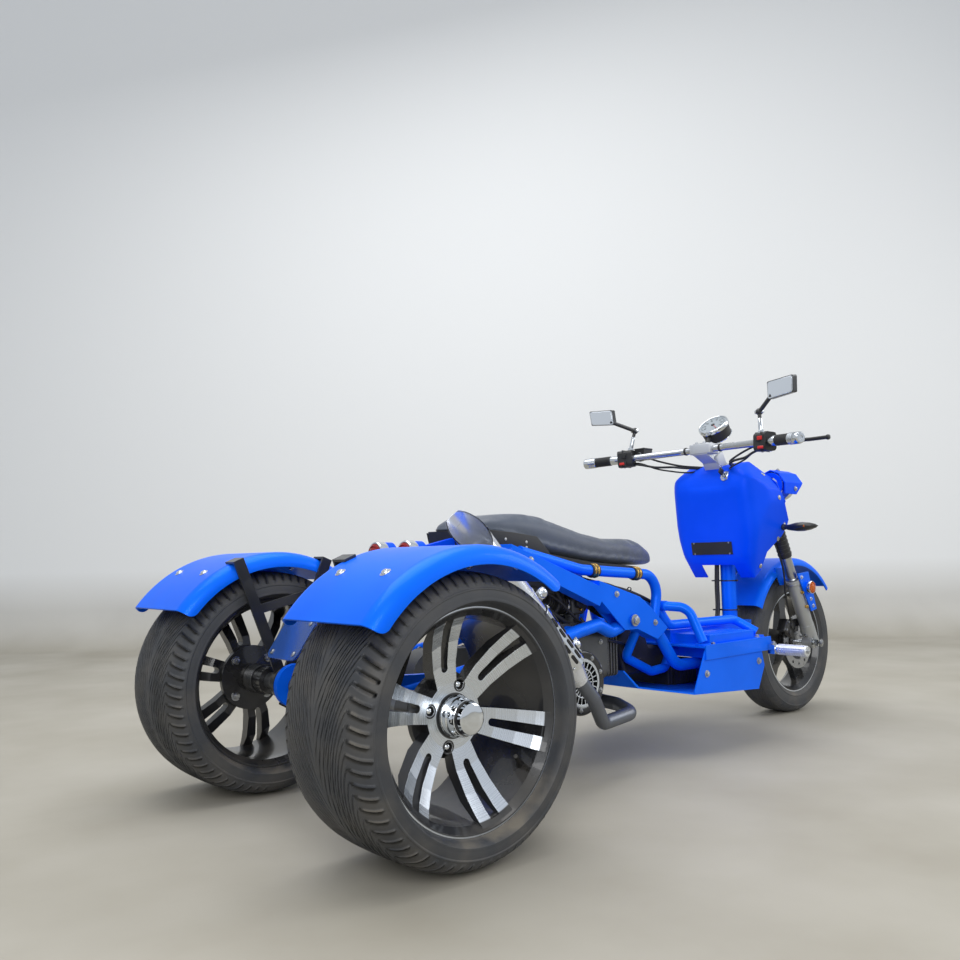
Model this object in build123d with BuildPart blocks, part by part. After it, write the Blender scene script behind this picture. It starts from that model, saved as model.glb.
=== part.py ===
from build123d import *
import os
from math import cos, degrees, radians, sin, tan

# A motor trike: two wide driven wheels at the back, one steered wheel in front,
# a low step-through frame of bent tube, and a handlebar over a moulded box.
# X points forward, Y to the rider's left and Z up, in millimetres.
# The origin is on the floor, under the middle of the overall box.

# Driving sizes of the whole vehicle
wheelbase = 1800
rear_tyre_radius = 258.5
rear_tyre_width = 270
rear_track = 724
front_tyre_radius = 238
front_tyre_width = 120
fit = 0.3

# Rear fender
fender_radius = 303
fender_width = 296
fender_skirt = 35
fender_sheet = 4
fender_corner = 30
fender_tip = 18
fender_rear_angle = 144
fender_front_angle = 51

# Rear wheel
rear_lip_radius = 195
rear_lip_half = 110
rear_face_depth = 62
lug_circle = 110
lug_radius = 9
wheel_spokes = 6
spoke_turn = -14.5
slot_start = 88
slot_end = 180
slot_half = 7
spindle_radius = 12
cap_radius = 30
cap_length = 50

# Front wheel
front_lip_radius = 169.5
front_lip_half = 50
front_spokes = 5
disc_radius = 90
disc_thickness = 4
disc_y = -64
front_axle_radius = 7

# Steering
rake = 26
fork_offset = 36
fork_spread = 105
fork_collar = 27
axle_behind_leg = 19
steering_axis_x = -249
steering_axis_z = 700
stem_radius = 15
head_radius = 22
head_low = 672
head_high = 800
stem_top = 811

# Frame tubes
rail_diameter = 28
main_tube_diameter = 32
rail_y = 135
plate_inner_y = 141
plate_outer_y = 184
cheek = 4.5
lower_tube_y = 160
cradle_y = 104
cradle_diameter = 25
pivot_x = 782
pivot_z = 373
pivot_radius = 8

# Deck and belly pan
deck_z = 293
board_rise = 26
deck_sheet = 5
deck_half = 250
deck_rear_x = 1000
tunnel_half = 112
tunnel_top = 328
skirt_sheet = 4
tray_low = 155
rail_sheet = 4
lower_tube_z = 238

# Front box: its half widths at the top, shoulder, waist and foot, and those heights
box_half = 168
box_wall = 4
box_round = 20
box_top = 834
box_shoulder = 766
box_waist = 706
box_foot = 462
box_top_half = 96
box_foot_half = 112
box_rear_half = 138
box_rim = [(1492, box_top), (1619, 644), (1602, 612), (1478, box_foot)]

# Fuel tank under the floor, behind the skirts
tank_half = 82
tank_front_x = 1040
tank_rear_x = 838
tank_low = 216

# Rear axle and swing arms
axle_tube_radius = 20
hub_inner = 90
arm_y = 162.5
arm_diameter = 33
bearing_plate = 16
engine_right = 120
engine_left = 70

rear_reach = max(rear_tyre_radius, -(fender_radius * cos(radians(fender_rear_angle))))
rear_axle_x = (rear_reach - wheelbase - front_tyre_radius) / 2
front_axle_x = rear_axle_x + wheelbase
rear_axle_z = rear_tyre_radius
front_axle_z = front_tyre_radius
wheel_y = rear_track / 2
SIDES = {"right": -1, "left": 1}

os.makedirs("parts", exist_ok=True)


def write_piece(piece, name):
    piece.part.label = name
    export_step(piece.part, f"parts/{name}.step")


def from_rear(x):
    return rear_axle_x + x


def from_front(x):
    return front_axle_x + x


def side_plane(y):
    # A plane that faces right, whose own X and Y are the vehicle's X and Z
    return Plane.XZ.offset(-y)


def steering_x(z):
    # X of the steering axis at a height
    return from_front(steering_axis_x) - (z - steering_axis_z) * tan(radians(rake))


def leg_x(z):
    # X of the fork legs' line at a height
    return steering_x(z) + fork_offset / cos(radians(rake))


axis_up = Vector(-sin(radians(rake)), 0, cos(radians(rake)))


def bent_tube(points, radii, diameter):
    with BuildPart() as tube:
        with BuildLine() as path:
            FilletPolyline(*points, radius=radii)
        with BuildSketch(Plane(origin=path.line @ 0, z_dir=path.line % 0)):
            Circle(diameter / 2)
        sweep(path=path.line)
    return tube.part


def straight_tube(start, end, diameter):
    run = Vector(*end) - Vector(*start)
    with BuildPart() as tube:
        with BuildSketch(Plane(origin=start, z_dir=run)):
            Circle(diameter / 2)
        extrude(amount=run.length)
    return tube.part


def pan_front_x():
    return from_front(-545)


def side_frame(name, side):
    # Seat rail, box beam, boomerang plate and lower tube, welded into one
    rail = [(430, 552), (640, 505), (957, 484), (925, 352)]
    tube_end = (deck_rear_x + pan_front_x() - rear_axle_x) / 2
    lower = [(868, 385), (985, lower_tube_z), (tube_end, lower_tube_z)]
    beam = [(360, 569), (684, 455), (655, 415), (360, 530)]
    plate = [(655, 478), (812, 432), (857, 402), (925, 345), (880, 318), (801, 349), (750, 350), (664, 425)]
    slot = [(690, 300), (690, 392), (770, 402), (804, 396), (812, 300)]
    cradle = [(838, 152, 352), (842, cradle_y, 268), (949, cradle_y, 221), (deck_rear_x + 10, cradle_y, 226),
              (deck_rear_x + 35, cradle_y, 270), (deck_rear_x + 60 - fit, cradle_y, 270)]
    with BuildPart() as frame:
        add(bent_tube([(from_rear(x), side * rail_y, z) for x, z in rail], [150, 55], rail_diameter))
        add(bent_tube([(from_rear(x), side * lower_tube_y, z) for x, z in lower], 60, main_tube_diameter))
        add(bent_tube([(from_rear(x), side * y, z) for x, y, z in cradle], [22, 40, 20, 12], cradle_diameter))
        for outline in (beam, plate):
            with BuildSketch(side_plane(side * plate_inner_y)):
                Polygon(*[(from_rear(x), z) for x, z in outline], align=None)
            extrude(amount=-side * (plate_outer_y - plate_inner_y))
        with BuildSketch(side_plane(side * (plate_inner_y + cheek))):
            Polygon(*[(from_rear(x), z) for x, z in slot], align=None)
        extrude(amount=-side * (plate_outer_y - plate_inner_y - 2 * cheek), mode=Mode.SUBTRACT)
        with BuildSketch(side_plane(side * (plate_inner_y - 5))):
            with Locations((from_rear(pivot_x), pivot_z)):
                Circle(pivot_radius + fit)
        extrude(amount=-side * (plate_outer_y - plate_inner_y + 10), mode=Mode.SUBTRACT)
    write_piece(frame, name)


def deck_tubes():
    # A cross tube behind the deck with two bent tubes down each side
    cross_x = 966
    cross_z = 400
    pad = 34
    outer_loop = [(from_rear(cross_x - 2), 140, cross_z), (from_rear(1010), 190, 394)]
    outer_end = (from_rear(deck_rear_x + 22), deck_half - 24, deck_z + 9)
    inner_loop = [(from_rear(cross_x - 2), 118, cross_z), (from_rear(995), 132, 345)]
    inner_run = [(from_front(-490), 135, tunnel_top + 16), (from_front(-460), deck_half - 58, deck_z + 14)]
    with BuildPart() as tubes:
        add(straight_tube((from_rear(cross_x), -150, cross_z), (from_rear(cross_x), 150, cross_z), rail_diameter))
        for side in SIDES.values():
            loop = [(x, side * y, z) for x, y, z in outer_loop + [outer_end]]
            run = [(x, side * y, z) for x, y, z in inner_loop + inner_run]
            add(bent_tube(loop, 42, rail_diameter - 2))
            add(bent_tube(run, [28, 30], rail_diameter - 2))
            for x, y, z in (loop[-1], run[-1]):
                with BuildSketch(Plane.XY.offset(deck_z + fit)):
                    with Locations((x, y)):
                        RectangleRounded(pad, pad, 8)
                extrude(amount=5)
    write_piece(tubes, "deck_tubes")


def deck():
    # Foot boards with upright outer rails and a raised tunnel between them
    outline = [(from_rear(deck_rear_x), deck_half), (from_front(-490), deck_half),
               (from_front(-445), deck_half - 35)]
    outline += [(from_front(-400), tunnel_half), (from_front(-278), 66)]
    mirrored = [(x, -y) for x, y in reversed(outline)]
    board_front = from_front(-540)
    with BuildPart() as floor:
        with BuildSketch(Plane.XY.offset(deck_z - deck_sheet)):
            Polygon(*(outline + mirrored), align=None)
        extrude(amount=deck_sheet)
        with BuildSketch(Plane.XY.offset(deck_z)):
            Polygon(*[(from_rear(deck_rear_x + 30), tunnel_half), (from_front(-400), tunnel_half),
                      (from_front(-278), 62), (from_front(-278), -62),
                      (from_front(-400), -tunnel_half), (from_rear(deck_rear_x + 30), -tunnel_half)], align=None)
        extrude(amount=tunnel_top - deck_z)
        with BuildSketch(Plane.XY.offset(deck_z)):
            Polygon((from_rear(deck_rear_x + 44), 18 - deck_half), (from_rear(deck_rear_x + 44), deck_half - 18),
                    (board_front, deck_half - 18), (board_front + 26, 0), (board_front, 18 - deck_half), align=None)
        extrude(amount=board_rise)
        for row in range(3):
            for side in SIDES.values():
                with BuildSketch(Plane.XY.offset(deck_z + board_rise)):
                    with Locations(((from_rear(deck_rear_x + 44) + board_front) / 2, side * (tunnel_half + 60 + 20 * row))):
                        SlotOverall(board_front - from_rear(deck_rear_x + 84), 8)
                extrude(amount=2.5)
        for side in SIDES.values():
            with BuildSketch(side_plane(side * deck_half)):
                Polygon((from_rear(deck_rear_x), deck_z - 36), (from_rear(deck_rear_x), deck_z + 3),
                        (from_front(-480), deck_z + 6), (from_front(-472), deck_z - 33), align=None)
            extrude(amount=side * rail_sheet)
        with BuildSketch(Plane.YZ.offset(from_rear(deck_rear_x + 60))):
            with Locations((0, (deck_z - deck_sheet + lower_tube_z + main_tube_diameter / 2 + fit) / 2)):
                Rectangle(2 * (deck_half - 30), deck_z - deck_sheet - lower_tube_z - main_tube_diameter / 2 - fit)
        extrude(amount=30)
    write_piece(floor, "deck")


def belly_pan():
    # A folded tray under the deck, with a skirt panel down each side
    skirt_y = deck_half - rail_sheet - fit
    skirt_top = deck_z - deck_sheet - fit
    skirt = [(from_rear(1006), skirt_top), (from_front(-530), skirt_top), (from_front(-512), deck_z - 75),
             (pan_front_x(), deck_z - 134), (from_rear(947), deck_z - 118)]
    tray = [(from_rear(800), 238), (from_rear(830), 192), (from_rear(947), 172), (pan_front_x(), tray_low),
            (pan_front_x(), tray_low + skirt_sheet), (from_rear(948), 172 + skirt_sheet),
            (from_rear(833), 192 + skirt_sheet), (from_rear(804), 238)]
    with BuildPart() as pan:
        with BuildSketch(side_plane(0)):
            Polygon(*tray, align=None)
        extrude(amount=skirt_y, both=True)
        with BuildSketch(Plane.XY.offset(100)):
            for side in SIDES.values():
                Polygon((from_rear(790), side * 120), (from_rear(790), side * 400), (from_rear(950), side * 400),
                        (from_rear(950), side * skirt_y), align=None)
        extrude(amount=200, mode=Mode.SUBTRACT)
        for side in SIDES.values():
            with BuildSketch(side_plane(side * (skirt_y - skirt_sheet))):
                Polygon(*skirt, align=None)
            extrude(amount=-side * skirt_sheet)
        wall_top = lower_tube_z - main_tube_diameter / 2 - fit
        with BuildSketch(Plane.YZ.offset(pan_front_x())):
            with Locations((0, (tray_low + wall_top) / 2)):
                Rectangle(2 * skirt_y, wall_top - tray_low)
        extrude(amount=-skirt_sheet)
    write_piece(pan, "belly_pan")


def fuel_tank():
    # Moulded tank between the frame tubes, hung under the foot boards
    top = deck_z - deck_sheet - fit
    with BuildPart() as tank:
        with BuildSketch(side_plane(0)):
            Polygon((from_rear(tank_rear_x), 300), (from_rear(tank_rear_x + 20), top + 60),
                    (from_rear(deck_rear_x - 52), top + 64), (from_rear(deck_rear_x - 30), top),
                    (from_rear(tank_front_x), top), (from_rear(tank_front_x), tank_low),
                    (from_rear(tank_rear_x + 26), tank_low), align=None)
        extrude(amount=tank_half, both=True)
        fillet(tank.edges().filter_by(GeomType.LINE), radius=9)
        with BuildSketch(side_plane(0)):
            with Locations((from_rear(900), tank_low + 36)):
                SlotOverall(70, 10)
        extrude(amount=tank_half + 3, both=True)
    write_piece(tank, "fuel_tank")


def steering_post():
    # The upright post from the tunnel, bent forward to carry the head tube
    foot = (from_front(-303), 0, tunnel_top + fit)
    knee = (from_front(-303), 0, 590)
    head = (steering_x(735), 0, 735)
    with BuildPart() as post:
        add(bent_tube([foot, knee, head], 60, 48))
        with BuildSketch(Plane(origin=(steering_x(head_low), 0, head_low), z_dir=axis_up)):
            Circle(head_radius)
        extrude(amount=head_high - head_low)
        with BuildSketch(Plane.YZ.offset(from_front(-292))):
            with Locations((0, box_waist)):
                Rectangle(2 * (box_half - box_wall - fit) - 6, 24)
        extrude(amount=5)
        with BuildSketch(Plane(origin=(steering_x(head_low - 60), 0, head_low - 60), z_dir=axis_up)):
            Circle(stem_radius + fit)
        extrude(amount=head_high - head_low + 150, mode=Mode.SUBTRACT)
    write_piece(post, "steering_post")


def box_front_view():
    # The box seen from ahead: shoulders, then sides that draw in towards the foot
    half = [(box_top_half, box_top), (box_half - 6, box_shoulder), (box_half, box_waist),
            (box_half - 32, 540), (box_foot_half, box_foot)]
    return half + [(-y, z) for y, z in reversed(half)]


def in_rim(edge, opening):
    # True for an edge that lies in one of the box's raked front planes
    for (x, z), (next_x, next_z) in zip(box_rim, box_rim[1:]):
        along = Vector(next_x - x, 0, next_z - z).normalized()
        start = Vector(from_rear(x + opening), 0, z)
        if all(abs(along.cross(Vector(corner) - start).Y) < box_wall + 1 for corner in edge.vertices()):
            return True
    return False


def box_form(wall, opening, rounding):
    # The box's closed form, or with a wall and an opening the hollow inside it
    side_view = [(1388, 800)] + [(x + opening, z) for x, z in box_rim] + [(1430, 520)]
    plan = [(1370, box_rear_half - 8), (1500, box_half), (1700, box_half)]
    with BuildPart() as form:
        with BuildSketch(side_plane(0)):
            Polygon(*[(from_rear(x), z) for x, z in side_view], align=None)
            if wall:
                offset(amount=-wall, kind=Kind.INTERSECTION)
        extrude(amount=box_half, both=True)
        with BuildSketch(Plane.YZ.offset(from_rear(1300))):
            Polygon(*box_front_view(), align=None)
            if wall:
                offset(amount=-wall, kind=Kind.INTERSECTION)
        extrude(amount=500, mode=Mode.INTERSECT)
        with BuildSketch(Plane.XY.offset(400)):
            Polygon(*[(from_rear(x), y) for x, y in plan + [(x, -y) for x, y in reversed(plan)]], align=None)
            if wall:
                offset(amount=-wall, kind=Kind.INTERSECTION)
        extrude(amount=500, mode=Mode.INTERSECT)
        fillet([edge for edge in form.edges() if not in_rim(edge, opening)], radius=rounding)
    return form.part


def front_box():
    # Moulded box behind the head tube, open in front and under the post
    with BuildPart() as box:
        add(box_form(0, 0, box_round))
        add(box_form(box_wall, 60, box_round - box_wall), mode=Mode.SUBTRACT)
        with BuildSketch(side_plane(0)):
            Polygon((from_rear(1640), 600), (from_rear(1590), 596), (from_rear(1512), 543), (from_rear(1488), 440),
                    (from_rear(1640), 440), align=None)
        extrude(amount=box_half, both=True, mode=Mode.SUBTRACT)
        with BuildSketch(Plane.XY.offset(400)):
            with Locations((from_rear(1462), 0)):
                Rectangle(170, 124)
        extrude(amount=104, mode=Mode.SUBTRACT)
        with BuildSketch(Plane.XY.offset(400)):
            with Locations((from_front(-303), 0)):
                Rectangle(110, 64)
        extrude(amount=180, mode=Mode.SUBTRACT)
        with BuildSketch(Plane(origin=(steering_x(760), 0, 760), z_dir=axis_up)):
            Circle(46)
        extrude(amount=200, mode=Mode.SUBTRACT)
    write_piece(box, "front_box")


def box_side(z):
    # Half width of the box at a height below its waist
    return box_half - 32 * (box_waist - z) / (box_waist - 540)


def panel_x(z):
    # X of the box's raked front edge at a height
    (top_x, top_z), (low_x, low_z) = box_rim[:2]
    return from_rear(low_x) - (z - low_z) * (low_x - top_x) / (top_z - low_z)


def front_panel():
    # Cover over the open front of the box, above the fork crown
    top = (panel_x(832), 832)
    foot = (panel_x(700), 700)
    sheet = 4
    with BuildPart() as panel:
        with BuildSketch(side_plane(0)):
            Polygon((top[0] + fit, top[1]), (foot[0] + fit, foot[1]), (foot[0] + sheet, foot[1] + 3),
                    (top[0] + sheet, top[1] + 3), align=None)
        extrude(amount=box_half, both=True)
        with BuildSketch(Plane.YZ.offset(from_rear(1300))):
            Polygon(*box_front_view(), align=None)
        extrude(amount=500, mode=Mode.INTERSECT)
        for z, radius in ((640, head_radius + 1), (head_high - 10, 46)):
            with BuildSketch(Plane(origin=(steering_x(z), 0, z), z_dir=axis_up)):
                Circle(radius)
            extrude(amount=200, mode=Mode.SUBTRACT)
    write_piece(panel, "front_panel")


def headlamps():
    # A pair of round lamps under peaked hoods on one cross bracket
    lamp_z = 762
    lamp_y = 98
    lamp_x = from_front(-185)
    lens_radius = 42
    hood_radius = 52
    hood_sheet = 4
    hood_reach = 112
    with BuildPart() as lamps:
        for side in SIDES.values():
            with BuildSketch(Plane(origin=(lamp_x, side * lamp_y, lamp_z), x_dir=(0, 1, 0), z_dir=(1, 0, 0))):
                Circle(lens_radius)
            extrude(amount=70, taper=-3)
            with BuildSketch(Plane(origin=(lamp_x + 2, side * lamp_y, lamp_z), x_dir=(0, 1, 0), z_dir=(1, 0, 0))):
                with BuildLine():
                    Polyline((-hood_radius, -30), (-hood_radius, 8), (-30, 40), (0, hood_radius), (30, 40),
                             (hood_radius, 8), (hood_radius, -30))
                    Polyline((hood_radius, -30), (hood_radius - hood_sheet, -30), (hood_radius - hood_sheet, 6),
                             (28, 36.5), (0, hood_radius - hood_sheet), (-28, 36.5), (hood_sheet - hood_radius, 6),
                             (hood_sheet - hood_radius, -30), (-hood_radius, -30))
                make_face()
            extrude(amount=hood_reach)
            with Locations((lamp_x + 45, side * lamp_y, lamp_z + 46)):
                Box(20, 8, 14)
        with BuildSketch(side_plane(0)):
            Polygon((lamp_x + hood_reach + 20, lamp_z + 30), (lamp_x + hood_reach - 8, lamp_z - 2), (lamp_x + 66, lamp_z - 34),
                    (lamp_x + hood_reach + 20, lamp_z - 60), align=None)
        extrude(amount=2 * box_half, both=True, mode=Mode.SUBTRACT)
        with BuildSketch(Plane(origin=(lamp_x - 8, 0, lamp_z - 10), x_dir=(0, 1, 0), z_dir=(1, 0, 0))):
            Rectangle(240, 24)
        extrude(amount=10)
        for side in SIDES.values():
            with BuildSketch(side_plane(side * 74)):
                Polygon((lamp_x - 8, lamp_z + 2), (lamp_x - 8, lamp_z - 22), (panel_x(lamp_z - 25) + 4.5, lamp_z - 22),
                        (panel_x(lamp_z - 1) + 4.5, lamp_z + 2), align=None)
            extrude(amount=-side * 12)
    write_piece(lamps, "headlamps")


# Saddle sections: x, half width, bottom z, top z
seat_sections = [
    (332, 74, 606, 619),
    (346, 96, 600, 632),
    (400, 112, 590, 640),
    (450, 116, 578, 643),
    (500, 118, 560, 643),
    (550, 120, 546, 638),
    (620, 120, 535, 618),
    (700, 116, 524, 598),
    (800, 110, 516, 583),
    (900, 100, 510, 583),
    (970, 84, 508, 582),
    (1030, 60, 508, 566),
    (1064, 34, 514, 546),
]


def seat():
    # Long saddle: a raised back, a dished middle and a nose
    with BuildPart() as saddle:
        for x, half, low, high in seat_sections:
            with BuildSketch(Plane(origin=(from_rear(x), 0, (low + high) / 2), x_dir=(0, 1, 0), z_dir=(1, 0, 0))):
                RectangleRounded(2 * half, high - low, min(half, (high - low) / 2) * 0.8)
        loft(ruled=True)
    write_piece(saddle, "seat")


def seat_cowl():
    # Closed tail cowl that carries the seat on the frame rails
    outline = [(x, low - fit) for x, half, low, high in seat_sections[:-3]]
    outline += [(970, 496), (650, 496), (430, 520), (345, 545)]
    with BuildPart() as cowl:
        with BuildSketch(side_plane(0)):
            Polygon(*[(from_rear(x), z) for x, z in outline], align=None)
        extrude(amount=rail_y - rail_diameter / 2 - fit, both=True)
        with BuildSketch(Plane.XY.offset(480)):
            Polygon((from_rear(300), 78), (from_rear(450), 130), (from_rear(800), 130), (from_rear(1000), 70),
                    (from_rear(1000), -70), (from_rear(800), -130), (from_rear(450), -130), (from_rear(300), -78),
                    align=None)
        extrude(amount=200, mode=Mode.INTERSECT)
    write_piece(cowl, "seat_cowl")


def engine():
    # Crankcase with a cylinder lying forward, cooling fins, and the drive case on the left
    crank = (from_rear(596), 236)
    fin_gap = 11
    with BuildPart() as motor:
        with BuildSketch(side_plane(-engine_right)):
            Polygon((from_rear(530), 300), (from_rear(556), 372), (from_rear(690), 372), (from_rear(718), 330),
                    (from_rear(690), 190), (from_rear(560), 170), align=None)
        extrude(amount=-(engine_right + engine_left))
        fillet(motor.edges().filter_by(Axis.Y), radius=16)
        with BuildSketch(side_plane(-150)):
            with Locations(crank):
                Circle(78)
        extrude(amount=-180)
        with BuildSketch(Plane.YZ.offset(from_rear(620))):
            with Locations((-70, 292)):
                RectangleRounded(146, 134, 26)
        extrude(amount=106)
        for row in range(6):
            with BuildSketch(Plane.YZ.offset(from_rear(728 + fin_gap * row))):
                with Locations((-58, 288)):
                    RectangleRounded(130, 122, 12)
            extrude(amount=5)
        with BuildSketch(Plane.YZ.offset(from_rear(700))):
            with Locations((-58, 288)):
                RectangleRounded(100, 92, 10)
        extrude(amount=100)
        with BuildSketch(side_plane(68)):
            with Locations(crank):
                Circle(72)
            with Locations((from_rear(330), 252)):
                Circle(66)
            make_hull()
        extrude(amount=-60)
        for x, z, reach in ((350, 262, 9), (575, 244, 12)):
            with BuildSketch(side_plane(68 + reach)):
                with Locations((from_rear(x), z)):
                    Circle(44)
            extrude(amount=reach + 2)
        with BuildSketch(side_plane(-96)):
            with Locations((from_rear(548), 352)):
                Circle(25)
        extrude(amount=-120)
        with BuildSketch(side_plane(-62)):
            with Locations((from_rear(662), 432)):
                Circle(27)
        extrude(amount=-74)
        add(bent_tube([(from_rear(668), -24, 368), (from_rear(668), -24, 432), (from_rear(600), -24, 452)], 24, 34))
        with BuildSketch(Plane.XY.offset(368)):
            with Locations((from_rear(648), -36)):
                RectangleRounded(52, 44, 10)
        extrude(amount=60)
        with BuildSketch(Plane(origin=(from_rear(610), -24, 452), z_dir=(-1, 0, 0.2))):
            RectangleRounded(76, 118, 24)
        extrude(amount=96)
    write_piece(motor, "engine")


def fan_cover():
    # Round cooling-fan cover: a rolled rim round a grille of bars and rings
    centre = (from_rear(596), 232)
    grille_face = -engine_right - 50
    with BuildPart() as cover:
        with BuildSketch(side_plane(-150 - fit)):
            with Locations(centre):
                Circle(78)
                Circle(56, mode=Mode.SUBTRACT)
        extrude(amount=26)
        fillet(cover.edges().filter_by(GeomType.CIRCLE).group_by(Axis.Y)[0], radius=6)
        with BuildSketch(side_plane(grille_face)):
            with Locations(centre):
                for ring, width in ((58, 7), (36, 3), (20, 5)):
                    Circle(ring)
                    Circle(ring - width, mode=Mode.SUBTRACT)
        extrude(amount=6)
        with BuildSketch(side_plane(grille_face - 1)):
            with Locations(centre):
                with PolarLocations(36, 22):
                    Rectangle(36, 2.6)
        extrude(amount=4)
    write_piece(cover, "fan_cover")


def exhaust():
    # Header under the engine, then the silencer up past the fender to its slash-cut end
    low = Vector(from_rear(517), -240, 250)
    high = Vector(from_rear(160), -240, 622)
    along = (high - low).normalized()
    header = [(from_rear(738), -40, 219.5), (from_rear(739), -41, 172), (from_rear(748), -150, 162),
              (from_rear(738), -207, 148), (from_rear(620), -214, 138), low - along * 62, low - along * fit]
    with BuildPart() as pipe:
        add(bent_tube(header, [22, 24, 24, 26, 26], 34))
    write_piece(pipe, "header_pipe")
    with BuildPart() as silencer:
        with BuildSketch(Plane(origin=low, z_dir=high - low)):
            Circle(36)
        extrude(amount=(high - low).length)
        with BuildSketch(Plane(origin=high, z_dir=high - low)):
            Circle(33)
        extrude(amount=-90, mode=Mode.SUBTRACT)
        split(bisect_by=Plane(origin=(from_rear(185), -240, 590), z_dir=(-0.5, -0.72, 0.3)), keep=Keep.BOTTOM)
        with BuildSketch(side_plane(-204)):
            Polygon((from_rear(495), 345), (from_rear(525), 345), (from_rear(530), 262), (from_rear(480), 300), align=None)
        extrude(amount=5)
        with BuildSketch(side_plane(-(arm_y + arm_diameter / 2 + fit))):
            with Locations((from_rear(509), 335)):
                Circle(9)
        extrude(amount=38)
    write_piece(silencer, "silencer")


def rear_axle():
    with BuildPart() as axle:
        with BuildSketch(side_plane(-(wheel_y - hub_inner - 1))):
            with Locations((rear_axle_x, rear_axle_z)):
                Circle(axle_tube_radius)
        extrude(amount=-2 * (wheel_y - hub_inner - 1))
        with BuildSketch(side_plane(-(wheel_y + 60))):
            with Locations((rear_axle_x, rear_axle_z)):
                Circle(spindle_radius)
        extrude(amount=-2 * (wheel_y + 60))
    write_piece(axle, "rear_axle")


def swing_arm(name, side):
    # Bent arm from the pivot bolt back to a bearing plate around the axle tube
    arm = [(782, 373), (752, 357), (716, 347), (668, 367), (596, 355), (470, 326), (110, 272), (30, 262)]
    with BuildPart() as carrier:
        add(bent_tube([(from_rear(x), side * arm_y, z) for x, z in arm], [18, 24, 24, 60, 90, 90], arm_diameter))
        with BuildSketch(side_plane(side * (arm_y - arm_diameter / 2 + 0.4))):
            with Locations((from_rear(pivot_x), pivot_z)):
                Circle(19)
        extrude(amount=-side * (arm_diameter - 0.8))
        with BuildSketch(side_plane(side * (plate_inner_y - 6))):
            with Locations((from_rear(pivot_x), pivot_z)):
                Circle(pivot_radius)
        extrude(amount=-side * (plate_outer_y - plate_inner_y + 6 + fit))
        with BuildSketch(side_plane(side * (plate_outer_y + fit))):
            with Locations((from_rear(pivot_x), pivot_z)):
                Circle(12)
        extrude(amount=-side * 6)
        with BuildSketch(side_plane(side * (arm_y - 4))):
            with Locations((from_rear(600), 355.7)):
                Circle(11)
        reach = arm_y - 4 - fit - (engine_left if side > 0 else engine_right)
        extrude(amount=side * reach)
        with BuildSketch(side_plane(side * (arm_y - bearing_plate / 2))):
            with Locations((rear_axle_x, rear_axle_z)):
                Circle(48)
            Polygon((from_rear(20), 232), (from_rear(150), 255), (from_rear(150), 298), (from_rear(20), 305), align=None)
            with Locations((rear_axle_x, rear_axle_z)):
                Circle(axle_tube_radius + fit, mode=Mode.SUBTRACT)
        extrude(amount=-side * bearing_plate)
    write_piece(carrier, name)


def rear_fender(name, side):
    # Sheet arch over the tyre with a turned-down skirt along both edges
    start = radians(fender_rear_angle)
    centre = Vector(rear_axle_x, side * wheel_y, rear_axle_z)
    section = Plane(origin=centre, x_dir=(0, 1, 0), z_dir=(sin(start), 0, -cos(start)))
    low = fender_radius - fender_skirt
    outer = fender_width / 2
    inner = outer - fender_sheet
    roof = fender_radius - fender_sheet
    with BuildPart() as fender:
        with BuildSketch(section):
            with BuildLine():
                FilletPolyline((-outer, low), (-outer, fender_radius), (outer, fender_radius), (outer, low),
                               radius=fender_corner)
                FilletPolyline((-inner, low), (-inner, roof), (inner, roof), (inner, low),
                               radius=fender_corner - fender_sheet)
                Line((-outer, low), (-inner, low))
                Line((outer, low), (inner, low))
            make_face()
        revolve(axis=Axis(centre, (0, 1, 0)), revolution_arc=fender_rear_angle - fender_front_angle)
        corners = fender.edges().filter_by(Axis.Y).filter_by(lambda edge: edge.length < fender_sheet + 0.1)
        fillet(corners, radius=fender_tip)
    write_piece(fender, name)


def fender_struts(name, side):
    # Two flat bars from a clamp on the axle tube up to the fender's inner edge
    clamp_y = wheel_y - fender_width / 2 - fit - 5
    reach = fender_radius + fit + 5
    hook_reach = 44
    with BuildPart() as struts:
        with BuildSketch(side_plane(side * (clamp_y - 8))):
            with Locations((rear_axle_x, rear_axle_z)):
                Circle(34)
        extrude(amount=-side * 16)
        for angle in (112, 68):
            along = Vector(cos(radians(angle)), 0, sin(radians(angle)))
            foot = Vector(rear_axle_x, side * (clamp_y + 2.5), rear_axle_z) + along * 28
            with BuildSketch(Plane(origin=foot, x_dir=(0, 1, 0), z_dir=along)):
                Rectangle(5, 26)
            extrude(amount=reach - 28)
            hook = Vector(rear_axle_x, side * (clamp_y + hook_reach / 2), rear_axle_z) + along * (fender_radius + fit)
            with BuildSketch(Plane(origin=hook, x_dir=(0, 1, 0), z_dir=along)):
                Rectangle(hook_reach, 26)
            extrude(amount=5)
        cross = [(205 * cos(radians(a)), 205 * sin(radians(a)) + lift) for a, lift in ((112, -10), (68, 26))]
        with BuildSketch(side_plane(side * clamp_y)):
            Polygon((rear_axle_x + cross[0][0], rear_axle_z + cross[0][1]),
                    (rear_axle_x + cross[1][0], rear_axle_z + cross[1][1]),
                    (rear_axle_x + cross[1][0] + 2, rear_axle_z + cross[1][1] - 22),
                    (rear_axle_x + cross[0][0] - 2, rear_axle_z + cross[0][1] - 22), align=None)
        extrude(amount=-side * 5)
        with BuildSketch(side_plane(side * (clamp_y - 12))):
            with Locations((rear_axle_x, rear_axle_z)):
                Circle(axle_tube_radius + fit)
        extrude(amount=-side * 40, mode=Mode.SUBTRACT)
    write_piece(struts, name)


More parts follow.
